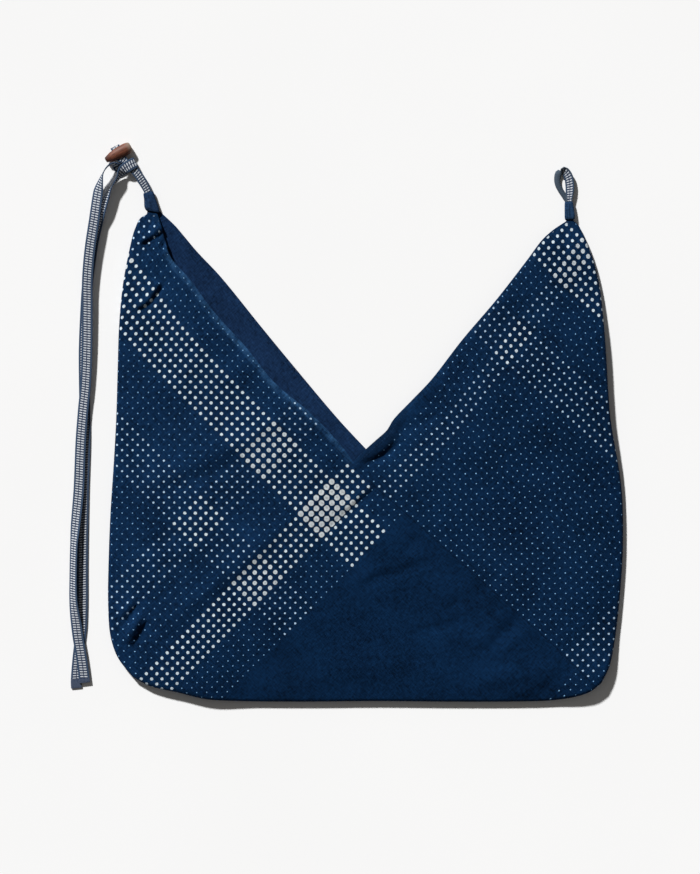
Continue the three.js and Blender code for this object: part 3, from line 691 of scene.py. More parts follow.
# %% Routes of the tapes
TAPE_WIDTH = 10.8
TAPE_THICKNESS = 1.0
STRAP_ROUTE = [
    (-262.4, -260, 2.7, 1, 0.05, 0, 1), (-265.4, -237, 2.7, 1, 0.1, 0, 1),
    (-269.4, -213, 2.7, 1, 0.1, 0, 1), (-270.8, -202, 2.8, 0.99, 0, 0.12, 1),
    (-272.6, -189, 3.7, 0.88, 0, 0.47, 1), (-273.7, -177, 4.6, 0.76, 0, 0.65, 1),
    (-273.8, -152, 5, 0.7, 0, 0.71, 1), (-273, -122, 4.9, 0.72, 0, 0.69, 1),
    (-271.5, -102, 4, 0.9, 0, 0.42, 1), (-268.4, -67, 3.3, 0.98, 0, 0.2, 1),
    (-266.3, -17, 3.2, 0.98, 0, 0.2, 1), (-264, 13, 3.4, 0.98, 0, 0.2, 1),
    (-261.5, 38, 4.1, 0.98, 0, 0.17, 1), (-260, 73, 5.2, 0.99, 0, 0.14, 1),
    (-259.7, 113, 6.2, 0.99, 0, 0.1, 1), (-259.5, 143, 7, 0.99, 0, 0.1, 1),
    (-257, 173, 8, 0.99, 0, 0.14, 1), (-252.5, 203, 8.8, 0.98, 0, 0.17, 1),
    (-248.5, 231, 8.4, 0.93, 0, 0.37, 1), (-246.2, 241, 9.2, 0.64, 0, 0.77, 0.8),
    (-243.6, 249.5, 9.8, 0.17, 0, 0.98, 0.55), (-239.5, 256, 9.4, 0, 0, 1, 0.5),
    (-235, 259.2, 7.6, -0.1, 0.1, 1, 0.6), (-231.6, 258.6, 5.8, -0.4, 0.5, 0.77, 0.85),
    (-228.8, 255.7, 3.35, -0.5, 0.8, 0.36, 1), (-224, 254.8, 1.2, -0.51, 0.86, 0.05, 1),
    (-219.5, 257, 0.95, -0.51, 0.86, 0, 1), (-214.3, 260.1, 0.95, -0.51, 0.86, 0, 1),
    (-212.3, 260.4, 2, -0.5, 0.87, 0, 1), (-211.4, 260.8, 4.1, -0.48, 0.88, 0, 1),
    (-212.2, 260.2, 6.3, -0.46, 0.89, 0, 1), (-214.3, 259.2, 7.4, -0.44, 0.9, 0, 1),
    (-219, 256.4, 7.5, -0.42, 0.9, 0.02, 1), (-222.4, 254, 7.3, -0.4, 0.88, 0.15, 1),
    (-225.2, 250.8, 6.9, -0.36, 0.66, 0.6, 0.96), (-227.4, 247, 6.3, -0.24, 0.3, 0.93, 0.9),
    (-231.4, 241.8, 5.7, -0.05, 0.05, 1, 0.84), (-236.2, 234.8, 5.4, 0.2, 0, 0.98, 0.84),
    (-239.8, 227, 5.4, 0.6, 0, 0.8, 0.92), (-243.5, 217, 5.2, 0.72, 0, 0.69, 1),
    (-247, 207, 4.2, 0.85, 0, 0.53, 1), (-250.5, 195, 2.8, 0.95, 0, 0.3, 1),
    (-254, 181, 1.7, 0.99, 0, 0.12, 1), (-257.2, 161, 1, 1, 0, 0, 1), (-260, 138, 0.9, 1, 0, 0, 1),
    (-261.6, 113, 0.9, 1, 0, 0, 1), (-263.2, 73, 0.9, 1, 0, 0, 1), (-263, 38, 0.9, 1, 0, 0, 1),
    (-262.5, 13, 0.9, 1, 0, 0, 1), (-262.3, -17, 0.9, 1, 0, 0, 1), (-263.8, -67, 0.9, 1, 0, 0, 1),
    (-264.7, -117, 0.9, 1, 0, 0, 1), (-265, -152, 0.9, 1, 0, 0, 1), (-265, -177, 0.9, 1, 0, 0, 1),
    (-265.8, -204, 0.9, 1, 0, 0, 1), (-266.8, -213, 0.9, 1, 0, 0, 1), (-269.6, -237, 0.9, 1, 0, 0, 1),
    (-271.2, -260, 0.9, 1, -0.05, 0, 1), (-270.8, -265.5, 0.9, 1, -0.05, 0, 1),
]
SHORT_TAPE_ROUTE = [
    (-197.4, 222.6, 2.3, 0.95, 0.3, 0, 0.58), (-199.2, 231, 2.6, 0.9, 0.4, 0, 0.66),
    (-204.2, 241, 3.3, 0.85, 0.52, 0, 0.8), (-210.6, 250.6, 3.75, 0.76, 0.65, 0, 0.76),
    (-218.9, 257.4, 3.8, 0.65, 0.76, 0, 0.62), (-222.6, 262.7, 4.2, 0.8, 0.6, 0, 0.6),
    (-226.2, 265, 4.35, 0.87, 0.49, 0, 0.88), (-228.7, 269.7, 4.35, 0.87, 0.49, 0, 0.88),
    (-231.2, 274.6, 4.35, 0.87, 0.49, 0, 0.88), (-232.4, 277, 5.2, 0.87, 0.49, 0, 0.88),
    (-231.2, 274.6, 6.05, 0.87, 0.49, 0, 0.88), (-228.7, 269.7, 6.05, 0.87, 0.49, 0, 0.88),
    (-226.2, 265, 6.05, 0.87, 0.49, 0, 0.88), (-222.6, 262.7, 5.9, 0.8, 0.6, 0, 0.6),
    (-218.9, 257.4, 5.6, 0.65, 0.76, 0, 0.62), (-210.6, 250.6, 5.5, 0.76, 0.65, 0, 0.78),
    (-204.2, 241, 4.9, 0.85, 0.52, 0, 0.8), (-199.2, 231, 4.1, 0.9, 0.4, 0, 0.66),
    (-197.4, 222.6, 3.8, 0.95, 0.3, 0, 0.6),
]
LOOP_ROUTE = [
    (222.0, 212.5, 2.5, 1, 0, 0, 0.8), (220.6, 222.0, 2.3, 1, 0, 0.04, 0.7),
    (216.0, 229.6, 2.1, 0.95, 0, 0.15, 0.75), (211.4, 237.5, 2.0, 0.9, 0, 0.2, 0.85),
    (210.4, 244.5, 2.0, 0.9, 0.05, 0.2, 0.9), (212.2, 250.6, 2.4, 0.85, 0.3, 0.2, 0.9),
    (217.2, 252.6, 2.8, 0.7, 0.5, 0.3, 0.9), (221.2, 247.5, 3.0, 0.8, 0.2, 0.4, 0.95),
    (223.0, 239, 3.0, 0.85, 0, 0.4, 0.95), (223.0, 231, 3.2, 0.9, 0, 0.3, 0.9),
    (222.3, 222.6, 3.9, 1, 0, 0.04, 0.8), (222.3, 212.5, 4.1, 1, 0, 0, 0.8),
]

# %% [markdown]
# The route is smoothed and cut into rings of equal length, and the direction across is made square
# to it at each ring. A tape that rolls in bends its width round an arc. LOOP_CURL is the angle of
# that arc at each row of the loop's route.

# %% Tapes
RING_STEP = 2.0
FEWEST_RINGS = 8
SPAN_STEPS = 24
TAPE_EDGE = 0.3
SMALLEST_CURL = 1e-3
CURLED_FROM = 0.1
LOOP_CURL = [3.6, 3.6, 3.8, 3.8, 3.6, 3.0, 2.2, 1.5, 1.5, 2.0, 3.4, 3.6]
CURL_FLATTEN = 0.55
TAPE_BEVEL_FROM = 1.0
TAPE_SMOOTH_BELOW = math.radians(40)
TAPE_CELLS = 6
CURLED_CELLS = 14


def create_tape(name, node, route, cells, curl):
    """A tape on its route. Curl is the angle that its width turns through, 0 for a flat tape."""
    route = np.array(route, float)
    centre = smooth_points(route[:, :3], SPAN_STEPS)
    across = smooth_points(route[:, 3:6], SPAN_STEPS)
    spans = np.arange(len(centre)) / SPAN_STEPS
    along = path_lengths(centre)
    rings = max(round(along[-1] / RING_STEP), FEWEST_RINGS)
    steps = np.linspace(0, along[-1], rings + 1)
    centre, across = read_at(steps, along, centre), read_at(steps, along, across)
    shares, curl = (
        np.interp(steps, along, np.interp(spans, np.arange(len(route)), values))
        for values in (route[:, 6], curl)
    )
    curl = np.maximum(curl, SMALLEST_CURL)
    tangent = np.gradient(centre, axis=0)
    tangent /= np.linalg.norm(tangent, axis=1)[:, None]
    across -= (across * tangent).sum(1)[:, None] * tangent
    across /= np.linalg.norm(across, axis=1)[:, None]
    normal = np.cross(tangent, across)
    tape, column, row = grid_sheet(name, cells, rings)
    sideways = (column / cells - 0.5) * TAPE_WIDTH
    turned = sideways / TAPE_WIDTH * curl[row]
    bow = shares[row] * TAPE_WIDTH / curl[row]
    depth = CURL_FLATTEN * bow * (1 - np.cos(turned) - (1 - np.cos(curl[row] / 2)) / 2)
    points = centre[row] + across[row] * (bow * np.sin(turned))[:, None] + normal[row] * depth[:, None]
    place_vertices(tape, points)
    set_uv(tape, np.stack([sideways, steps[row]], axis=1))
    curled = max(curl) > CURLED_FROM
    for finish in ("tape_back", "barred_tape") if curled else ("barred_tape",):
        tape.data.materials.append(finish_named(finish))
    apply_modifier(
        tape, "SOLIDIFY", thickness=TAPE_THICKNESS * MM, offset=0, use_even_offset=False,
        material_offset=1 if curled else 0,
    )
    apply_modifier(
        tape, "BEVEL", width=TAPE_EDGE * MM, segments=2, limit_method="ANGLE",
        angle_limit=TAPE_BEVEL_FROM,
    )
    bpy.ops.object.shade_smooth_by_angle(angle=TAPE_SMOOTH_BELOW)
    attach(tape, "root")
    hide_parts(node)
    return tape


strap_tape = create_tape("strap_tape", "strap", STRAP_ROUTE, TAPE_CELLS, np.zeros(len(STRAP_ROUTE)))
create_tape("short_tape", "tape_short", SHORT_TAPE_ROUTE, TAPE_CELLS, np.zeros(len(SHORT_TAPE_ROUTE)))
create_tape("loop_tape", "tape_loop", LOOP_ROUTE, CURLED_CELLS, LOOP_CURL)

# %% [markdown]
# ## The sleeves
# A small tube of plain cotton gathers each horn and holds the end of its tape. A grid is rolled up
# into a flattened tube through the sections of the real sleeve, each with its centre, half width
# and half height. Small gathers run along it, its seam is merged, and Solidify gives it a wall.

# %% Sleeves
LEFT_SLEEVE = [
    (-194.2, 211.4, 3.2, 7.0, 2.7), (-194.9, 214, 3.3, 7.2, 3.2), (-195.9, 217.5, 3.3, 6.8, 3.3),
    (-197.4, 224.5, 3.3, 5.6, 3.1), (-198.8, 230.7, 3.4, 5.3, 2.7),
]
RIGHT_SLEEVE = [
    (223.0, 203.6, 3.2, 5.0, 2.7), (222.9, 206, 3.3, 5.0, 3.2), (222.6, 210.5, 3.3, 4.7, 3.3),
    (222.2, 216, 3.3, 4.4, 3.1), (221.9, 221.4, 3.3, 4.2, 2.8),
]
SLEEVE_SIDES = 72
SLEEVE_RINGS = 22
SLEEVE_WALL = 0.9
GATHERS = 9
GATHER_HEIGHT = 0.3
GATHER_SWAY = 1.5
GATHER_SWAYS = 3
END_ROLL = 0.25
END_ROLL_SHARE = 0.06
SLEEVE_MAP_LENGTH = 20
LEFT_SLANT = 0.4


def create_sleeve(name, node, sections, slant):
    """One sleeve. Slant is how much further down its lower end reaches on the right side."""
    sections = smooth_points(sections, SLEEVE_RINGS)
    places = np.linspace(0, len(sections) - 1, SLEEVE_RINGS + 1)
    axis = sections[-1, :3] - sections[0, :3]
    axis /= np.linalg.norm(axis)
    side = np.array([axis[1], -axis[0], 0])
    side /= np.linalg.norm(side)
    up = np.cross(side, axis)
    sleeve, column, row = grid_sheet(name, SLEEVE_SIDES, SLEEVE_RINGS)
    section = read_at(places[row], np.arange(len(sections)), sections)
    angle = column / SLEEVE_SIDES * 2 * math.pi
    cos, sin = np.cos(angle), np.sin(angle)
    squareness = (cos**4 + sin**4) ** -0.25
    share = row / SLEEVE_RINGS
    sway = GATHER_SWAY * np.sin(angle * GATHER_SWAYS)
    gather = GATHER_HEIGHT * np.sin(angle * GATHERS + sway) * np.sin(math.pi * share)
    roll = END_ROLL * np.exp(-((np.minimum(share, 1 - share) / END_ROLL_SHARE) ** 2))
    wide = cos * squareness * (section[:, 3] + gather - roll)
    high = sin * squareness * (section[:, 4] + gather - roll)
    points = section[:, :3] + wide[:, None] * side + high[:, None] * up
    points[:, 1] -= slant * wide * (1 - share)
    place_vertices(sleeve, points)
    round_about = 2 * math.pi * section[:, 3]
    set_uv(sleeve, np.stack([column / SLEEVE_SIDES * round_about, share * SLEEVE_MAP_LENGTH], axis=1))
    close_seams(sleeve)
    sleeve.data.materials.append(finish_named("sleeve_cloth"))
    apply_modifier(sleeve, "SOLIDIFY", thickness=SLEEVE_WALL * MM, offset=-1)
    bpy.ops.object.shade_smooth()
    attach(sleeve, "root")
    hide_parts(node)
    print(name, count_triangles(sleeve), "triangles")
    return sleeve


sleeve_left_cloth = create_sleeve("sleeve_left_cloth", "sleeve_left", LEFT_SLEEVE, LEFT_SLANT)
sleeve_right_cloth = create_sleeve("sleeve_right_cloth", "sleeve_right", RIGHT_SLEEVE, 0)

# %% [markdown]
# ## The toggle
# The toggle is a turned barrel of reddish wood, thicker at its right end, with a slot across its
# middle for the tape. It could be spun from a profile. Here a sphere with its poles left and right
# is stretched ring by ring onto that profile, which keeps both ends closed and round. A long box
# cuts the slot, and a bevel softens its edges.

# %% Toggle
TOGGLE_LENGTH = 29
TOGGLE_PROFILE = [
    (0, -1), (2.0, -0.985), (2.9, -0.93), (3.3, -0.84), (4.1, -0.68), (5.2, -0.42), (6.0, -0.05),
    (6.2, 0.3), (5.9, 0.66), (5.3, 0.86), (4.6, 0.95), (3.9, 0.985), (0, 1),
]
TOGGLE_SLOT = (TAPE_WIDTH + 0.8, 20, 3.8)
PROFILE_STEPS = 12
SLOT_ROUNDING = 0.8
SLOT_RIM = 0.25
SLOT_BEVEL_FROM = 0.9
BALL_SEGMENTS = 64
BALL_RINGS = 48
TOGGLE_SMOOTH_BELOW = math.radians(35)
TOGGLE_FLATTEN = 0.82
TOGGLE_TURN = math.radians(29)
TOGGLE_PLACE = np.array([-228.7, 269.7, 5.2])


def create_toggle():
    deselect_all()
    bpy.ops.mesh.primitive_uv_sphere_add(segments=BALL_SEGMENTS, ring_count=BALL_RINGS, radius=1)
    toggle = bpy.context.active_object
    toggle.name = "toggle_barrel"
    ball = np.array([v.co for v in toggle.data.vertices])
    profile = smooth_points(TOGGLE_PROFILE, PROFILE_STEPS)
    lengths = path_lengths(profile * (1, TOGGLE_LENGTH / 2))
    polar = np.arccos(np.clip(ball[:, 2], -1, 1)) / math.pi
    along = (1 - polar) * lengths[-1]
    radius, share = read_at(along, lengths, profile).T
    turn = np.arctan2(ball[:, 1], ball[:, 0])
    shaped = np.stack(
        [share * TOGGLE_LENGTH / 2, radius * np.cos(turn), radius * np.sin(turn) * TOGGLE_FLATTEN],
        axis=1,
    )
    toggle.data.vertices.foreach_set("co", (shaped * MM).ravel())
    deselect_all()
    bpy.ops.mesh.primitive_cube_add(size=1)
    slot = bpy.context.active_object
    slot.scale = [size * MM for size in TOGGLE_SLOT]
    bpy.ops.object.transform_apply(location=False, rotation=False, scale=True)
    apply_modifier(slot, "BEVEL", width=SLOT_ROUNDING * MM, segments=4)
    apply_modifier(toggle, "BOOLEAN", object=slot, operation="DIFFERENCE", solver="EXACT")
    bpy.data.objects.remove(slot, do_unlink=True)
    close_seams(toggle)
    apply_modifier(
        toggle, "BEVEL", width=SLOT_RIM * MM, segments=2, limit_method="ANGLE",
        angle_limit=SLOT_BEVEL_FROM,
    )
    return toggle


toggle_barrel = create_toggle()
toggle_barrel.rotation_euler = (0, 0, TOGGLE_TURN)
toggle_barrel.location = in_frame(TOGGLE_PLACE)
make_active(toggle_barrel)
bpy.ops.object.transform_apply(location=True, rotation=True, scale=True)
bpy.ops.object.shade_smooth_by_angle(angle=TOGGLE_SMOOTH_BELOW)
toggle_barrel.data.materials.append(finish_named("polished_wood"))
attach(toggle_barrel, "root")
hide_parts("toggle")
print("toggle_barrel:", count_triangles(toggle_barrel), "triangles")

# %% [markdown]
# ## Stitches
# The hems along the mouth are sewn with small running stitches, the sleeves with a row at each
# end, and the strap's ends are joined by two rows across them. One stitch is a ball that is
# stretched to a grain of thread. It is copied along short lines, and each copy is set down on the
# cloth below it, found by a ray from above.

# %% Stitches
STITCH_LENGTH = 1.9
STITCH_PITCH = 3.4
STITCH_RADIUS = 0.2
STITCH_SEGMENTS = 6
STITCH_RINGS = 5
STITCH_LOOK_AHEAD = 0.5
HEM_STITCH_INSET = 4.6
HEM_STEPS = 20
RAY_HEIGHT = 0.04
BACK_LAYER_TOP = 0.004
STEEPEST = 0.3
SLEEVE_ROW_SHARE = 0.8
STRAP_SEAM_ENDS = (-275, -258)
STRAP_SEAM_HEIGHTS = (-255.6, -258.2)


def inset_line(path, inset):
    tangent = np.gradient(path, axis=0)
    tangent /= np.linalg.norm(tangent, axis=1)[:, None]
    return path + np.column_stack([tangent[:, 1], -tangent[:, 0]]) * inset


def stitch_places(path, target, highest=RAY_HEIGHT):
    """Points and directions of the stitches of one row, where the ray meets the target."""
    length = path_lengths(path)[-1]
    places = []
    for along in np.arange(STITCH_PITCH / 2, length, STITCH_PITCH):
        point, ahead = points_at(path, np.array([along, min(along + STITCH_LOOK_AHEAD, length)]))
        start = in_frame(np.append(point, 0))
        start[2] = RAY_HEIGHT
        hit, spot, normal, _ = target.ray_cast(start, (0, 0, -1))
        if hit and spot.z < highest and normal.z > STEEPEST:
            places.append((np.array(spot), np.array(normal), np.append(ahead - point, 0)))
    return places


def create_stitches(name, rows):
    deselect_all()
    bpy.ops.mesh.primitive_uv_sphere_add(segments=STITCH_SEGMENTS, ring_count=STITCH_RINGS, radius=1)
    stitch = bpy.context.active_object
    ball = np.array([v.co for v in stitch.data.vertices])
    faces = [list(face.vertices) for face in stitch.data.polygons]
    bpy.data.objects.remove(stitch, do_unlink=True)
    vertices, all_faces = [], []
    for spot, normal, ahead in rows:
        ahead = ahead - normal * (ahead @ normal)
        ahead /= np.linalg.norm(ahead)
        side = np.cross(normal, ahead)
        size = (STITCH_RADIUS, STITCH_RADIUS, STITCH_LENGTH / 2)
        placed = ball * size @ np.stack([side, normal, ahead]) * MM + spot
        all_faces += [[index + len(vertices) * len(ball) for index in face] for face in faces]
        vertices.append(placed)
    mesh = bpy.data.meshes.new(name)
    mesh.from_pydata(np.vstack(vertices).tolist(), [], all_faces)
    piece = bpy.data.objects.new(name, mesh)
    bpy.context.scene.collection.objects.link(piece)
    make_active(piece)
    bpy.ops.object.shade_smooth()
    mesh.materials.append(finish_named("sewing_thread"))
    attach(piece, "root")
    print(name, len(rows), "stitches,", count_triangles(piece), "triangles")


hem_rows = []
for hem, first_span, last_span, highest in (
    (FRONT_MOUTH_LEFT, 2, None, RAY_HEIGHT), (FRONT_MOUTH_RIGHT, 0, -4, RAY_HEIGHT),
    (BACK_MOUTH_LEFT, 3, None, BACK_LAYER_TOP), (BACK_MOUTH_RIGHT, 0, -3, BACK_LAYER_TOP),
):
    sewn = smooth_points(hem, HEM_STEPS)[first_span * HEM_STEPS:last_span and last_span * HEM_STEPS]
    hem_rows += stitch_places(inset_line(sewn, HEM_STITCH_INSET), cloth_bag, highest)
create_stitches("hem_stitches", hem_rows)

sleeve_rows = []
for sleeve, sections in ((sleeve_left_cloth, LEFT_SLEEVE), (sleeve_right_cloth, RIGHT_SLEEVE)):
    for section in (sections[1], sections[-2]):
        half = section[3] * SLEEVE_ROW_SHARE
        row = np.array([(section[0] - half, section[1]), (section[0] + half, section[1])])
        sleeve_rows += stitch_places(row, sleeve)
create_stitches("sleeve_stitches", sleeve_rows)

end_rows = []
for height in STRAP_SEAM_HEIGHTS:
    end_rows += stitch_places(np.array([(end, height) for end in STRAP_SEAM_ENDS]), strap_tape)
create_stitches("strap_end_stitches", end_rows)

# %% [markdown]
# ## Finishes
# All materials are built from nodes. Short helpers add a node with its values, a Math node, a mix
# of two colours, a smooth step, a noise and the parts of a place, and make and place a node group.

# %% Node helpers
def set_input(tree, socket, value):
    """Links a socket to another, or gives it a plain value."""
    if isinstance(value, bpy.types.NodeSocket):
        tree.links.new(value, socket)
    else:
        socket.default_value = value


def new_node(tree, kind, values=None, **settings):
    node = tree.nodes.new(kind)
    for name, value in settings.items():
        setattr(node, name, value)
    for key, value in (values or {}).items():
        set_input(tree, node.inputs[key], value)
    return node


def calculate(tree, operation, *values, clamp=False):
    node = new_node(tree, "ShaderNodeMath", dict(enumerate(values)), operation=operation)
    node.use_clamp = clamp
    return node.outputs[0]


def mix_colours(tree, share, first, second):
    node = tree.nodes.new("ShaderNodeMix")
    node.data_type = "RGBA"
    sockets = {socket.identifier: socket for socket in (*node.inputs, *node.outputs)}
    for label, value in (("Factor_Float", share), ("A_Color", first), ("B_Color", second)):
        set_input(tree, sockets[label], value)
    return sockets["Result_Color"]


def ramp(tree, value, low, high):
    """A smooth step of a value from 0 at low to 1 at high."""
    node = new_node(
        tree, "ShaderNodeMapRange", {"Value": value, "From Min": low, "From Max": high},
        interpolation_type="SMOOTHSTEP",
    )
    return node.outputs[0]


def new_group(name, inputs, outputs):
    group = bpy.data.node_groups.new(name, "ShaderNodeTree")
    for label, kind in inputs:
        group.interface.new_socket(label, in_out="INPUT", socket_type=kind)
    for label, kind in outputs:
        group.interface.new_socket(label, in_out="OUTPUT", socket_type=kind)
    start = group.nodes.new("NodeGroupInput")
    end = group.nodes.new("NodeGroupOutput")
    return group, start, end


def use_group(tree, group, values):
    return new_node(tree, "ShaderNodeGroup", values, node_tree=group)


def separate(tree, place):
    """The two or three parts of a place."""
    return new_node(tree, "ShaderNodeSeparateXYZ", {0: place}).outputs


def noise(tree, place, scale, detail, **more):
    """A soft random value around one half. More holds the node's rarer values."""
    values = {"Vector": place, "Scale": scale, "Detail": detail}
    values.update({label.capitalize(): value for label, value in more.items()})
    return new_node(tree, "ShaderNodeTexNoise", values).outputs[0]


def linear(red, green, blue):
    """A colour given as it looks on a screen, 0 to 255, turned into the values that shaders use."""
    channels = []
    for channel in (red, green, blue):
        share = channel / 255
        channels.append(share / 12.92 if share <= 0.04045 else ((share + 0.055) / 1.055) ** 2.4)
    return (*channels, 1)


# %% [markdown]
# Plain weave: threads cross over and under, so each cell of thread is a small hump that runs one
# way or the other in turn. The group takes a place in millimetres and the thread's width, and puts
# out a height from 0 to 1.

# %% Weave group
HUMP_ROUNDING = 0.45

weave_group, start, end = new_group(
    "thread_weave",
    [("Place", "NodeSocketVector"), ("Thread", "NodeSocketFloat")],
    [("Height", "NodeSocketFloat")],
)
work_out = partial(calculate, weave_group)
humps = []
floors = []
for part in separate(weave_group, start.outputs["Place"])[:2]:
    cell = work_out("DIVIDE", part, start.outputs["Thread"])
    half_turn = work_out("MULTIPLY", work_out("FRACT", cell), math.pi)
    humps.append(work_out("SINE", half_turn))
    floors.append(work_out("FLOOR", cell))
turn = work_out("PINGPONG", work_out("ADD", *floors), 1.0)
threads = []
for hump, other in (humps, humps[::-1]):
    rounded = work_out("MULTIPLY_ADD", other, HUMP_ROUNDING, 1 - HUMP_ROUNDING)
    threads.append(work_out("MULTIPLY", rounded, hump))
warp = work_out("MULTIPLY", threads[0], turn)
height = work_out("MULTIPLY_ADD", threads[1], work_out("SUBTRACT", 1.0, turn), warp)
weave_group.links.new(height, end.inputs["Height"])
print("weave group:", len(weave_group.nodes), "nodes")

# %% [markdown]
# Dyed cotton is never one even colour. This group puts out one value around 1 that any material
# multiplies its colour by: a soft cloudiness, and slubs, the thicker places of the threads, from
# two noises that are stretched along the warp and the weft.

# %% Unevenness group
SLUB_STRETCHES = ((0.62, 0.17, 1.0), (0.17, 0.62, 1.0))
SLUB_SHARE = 1.2
CLOTH_NOISE_ROUGHNESS = 0.6
DARKEST_SHADE = 0.2

uneven_group, start, end = new_group(
    "dye_unevenness",
    [
        ("Place", "NodeSocketVector"), ("Threads", "NodeSocketVector"),
        ("Cloud Size", "NodeSocketFloat"), ("Strength", "NodeSocketFloat"),
    ],
    [("Value", "NodeSocketFloat")],
)
work_out = partial(calculate, uneven_group)
cloud_scale = work_out("DIVIDE", 1.0, start.outputs["Cloud Size"])
clouds = noise(uneven_group, start.outputs["Place"], cloud_scale, 3.0, roughness=CLOTH_NOISE_ROUGHNESS)
centred = work_out("SUBTRACT", clouds, 0.5)
for stretch in SLUB_STRETCHES:
    threads = new_node(
        uneven_group, "ShaderNodeVectorMath", {0: start.outputs["Threads"], 1: stretch},
        operation="MULTIPLY",
    )
    slubs = noise(uneven_group, threads.outputs[0], 1.0, 2.0, roughness=CLOTH_NOISE_ROUGHNESS)
    centred = work_out("MULTIPLY_ADD", work_out("SUBTRACT", slubs, 0.5), SLUB_SHARE, centred)
value = work_out("MULTIPLY_ADD", centred, start.outputs["Strength"], 1.0)
uneven_group.links.new(work_out("MAXIMUM", value, DARKEST_SHADE), end.inputs["Value"])
print("unevenness group:", len(uneven_group.nodes), "nodes")

# %% [markdown]
# The print is a common check of dots: every crossing of the grid has one dot, and where a wider
# stripe of the check passes, the dots are bigger. So the diameter follows from how strong the two
# stripes are that cross in that cell. Plain cloth lies between the cells of LEFT_PLAIN, and past
# them the check has no stripes. At the slit a narrow strip of cloth is hidden in the fold, so the
# check jumps there.

# %% Chart of the dot check
SEAM_ALONG = 72
SEAM_ACROSS = 64
SEAM_BLUR = 0.2
SEAM_LINE = (0.16, 0.02)
SEAM_LINE_SHIFT = 0.1
SLIT_ALONG = 82.85
SLIT_BLUR = 0.05
SLIT_ACROSS = (53.0, 57.5)
HIDDEN_SHARE = 0.35
LEFT_ALONG = [(31, 37, 1), (67, 71, 1), (78, 82, 2)]
LEFT_ACROSS = [(41, 46, 1), (54, 60, 2)]
LEFT_PLAIN = (89, 119)
RIGHT_ALONG = [(83, 85, 1), (117, 121, 1)]
RIGHT_ACROSS = [(88, 93, 1), (101, 107, 2)]
HEM_ALONG = (72, 79)
HEM_ACROSS = (64, 80)
DOT_RADIUS = 0.56
DOT_GROWTH = 0.41
DOT_SWELL = 0.04
DOT_BLUR = 0.22
HEART_SPAN = (1.3, 0.3)
HEART_STRENGTHS = (2.4, 3.4)
CELL_ROOM = 0.25

# %% [markdown]
# The group finds the cell of a place on the map and adds up the stripes that pass it. A place is
# inside the dot where its distance from the cell's middle is less than the radius that this gives.
# The heart is the middle of the biggest dots, where the pale print has worn.

# %% Dot check group
check_group, start, end = new_group(
    "dot_check",
    [("Cells", "NodeSocketVector"), ("Edge Wobble", "NodeSocketFloat")],
    [
        ("Dot", "NodeSocketFloat"), ("Strength", "NodeSocketFloat"), ("Seam", "NodeSocketFloat"),
        ("Heart", "NodeSocketFloat"),
    ],
)
work_out = partial(calculate, check_group)
step = partial(ramp, check_group)
first_way, across = separate(check_group, start.outputs["Cells"])[:2]
past_slit = step(first_way, SLIT_ALONG - SLIT_BLUR, SLIT_ALONG + SLIT_BLUR)
beside_slit = work_out("MULTIPLY", past_slit, step(across, *SLIT_ACROSS))
before_seam = step(across, SEAM_ACROSS + SEAM_BLUR, SEAM_ACROSS - SEAM_BLUR)
hidden = work_out("MULTIPLY", beside_slit, before_seam)
along = work_out("MULTIPLY_ADD", hidden, HIDDEN_SHARE, first_way)
along_cell = work_out("FLOOR", along)
across_cell = work_out("FLOOR", across)


def in_range(cell, first, last):
    return work_out("COMPARE", cell, (first + last) / 2, (last - first) / 2 + CELL_ROOM)


def stripe_strength(along_stripes, across_stripes):
    """The sum of the strengths of all stripes that pass a cell."""
    total = 0.0
    for cell, stripes in ((along_cell, along_stripes), (across_cell, across_stripes)):
        for first, last, strength in stripes:
            total = work_out("MULTIPLY_ADD", in_range(cell, first, last), float(strength), total)
    return total


past_along = work_out("GREATER_THAN", along_cell, SEAM_ALONG - 0.5)
past_across = work_out("GREATER_THAN", across_cell, SEAM_ACROSS - 0.5)
on_right = work_out("MULTIPLY", past_along, past_across)
on_left = work_out("SUBTRACT", 1.0, on_right)
before_fold = work_out("LESS_THAN", along_cell, LEFT_PLAIN[1] + 0.5)
left_strength = work_out("MULTIPLY", stripe_strength(LEFT_ALONG, LEFT_ACROSS), before_fold)
strength = work_out("MULTIPLY", left_strength, on_left)
right_strength = stripe_strength(RIGHT_ALONG, RIGHT_ACROSS)
strength = work_out("MULTIPLY_ADD", right_strength, on_right, strength)
plain_left = work_out("MULTIPLY", in_range(along_cell, *LEFT_PLAIN), on_left)
in_hem = work_out("MULTIPLY", in_range(along_cell, *HEM_ALONG), in_range(across_cell, *HEM_ACROSS))
dotted = work_out("SUBTRACT", 1.0, work_out("MAXIMUM", plain_left, in_hem))

centre_offsets = []
for cell_place in (along, across):
    centred = work_out("SUBTRACT", work_out("FRACT", cell_place), 0.5)
    centre_offsets.append(work_out("MULTIPLY", centred, PITCH))
offset = new_node(check_group, "ShaderNodeCombineXYZ", dict(enumerate(centre_offsets)))
reach = new_node(check_group, "ShaderNodeVectorMath", {0: offset.outputs[0]}, operation="LENGTH")
wobbly = work_out("ADD", reach.outputs["Value"], start.outputs["Edge Wobble"])
radius = work_out("MULTIPLY_ADD", strength, DOT_GROWTH, DOT_RADIUS)
radius = work_out("MULTIPLY_ADD", work_out("MULTIPLY", strength, strength), DOT_SWELL, radius)
dot = step(work_out("SUBTRACT", wobbly, radius), DOT_BLUR, -DOT_BLUR)
heart = work_out("MULTIPLY", step(wobbly, *HEART_SPAN), step(strength, *HEART_STRENGTHS))
from_seam = work_out("ABSOLUTE", work_out("SUBTRACT", across, SEAM_ACROSS + SEAM_LINE_SHIFT))
seam = work_out("MULTIPLY", step(from_seam, *SEAM_LINE), past_along)
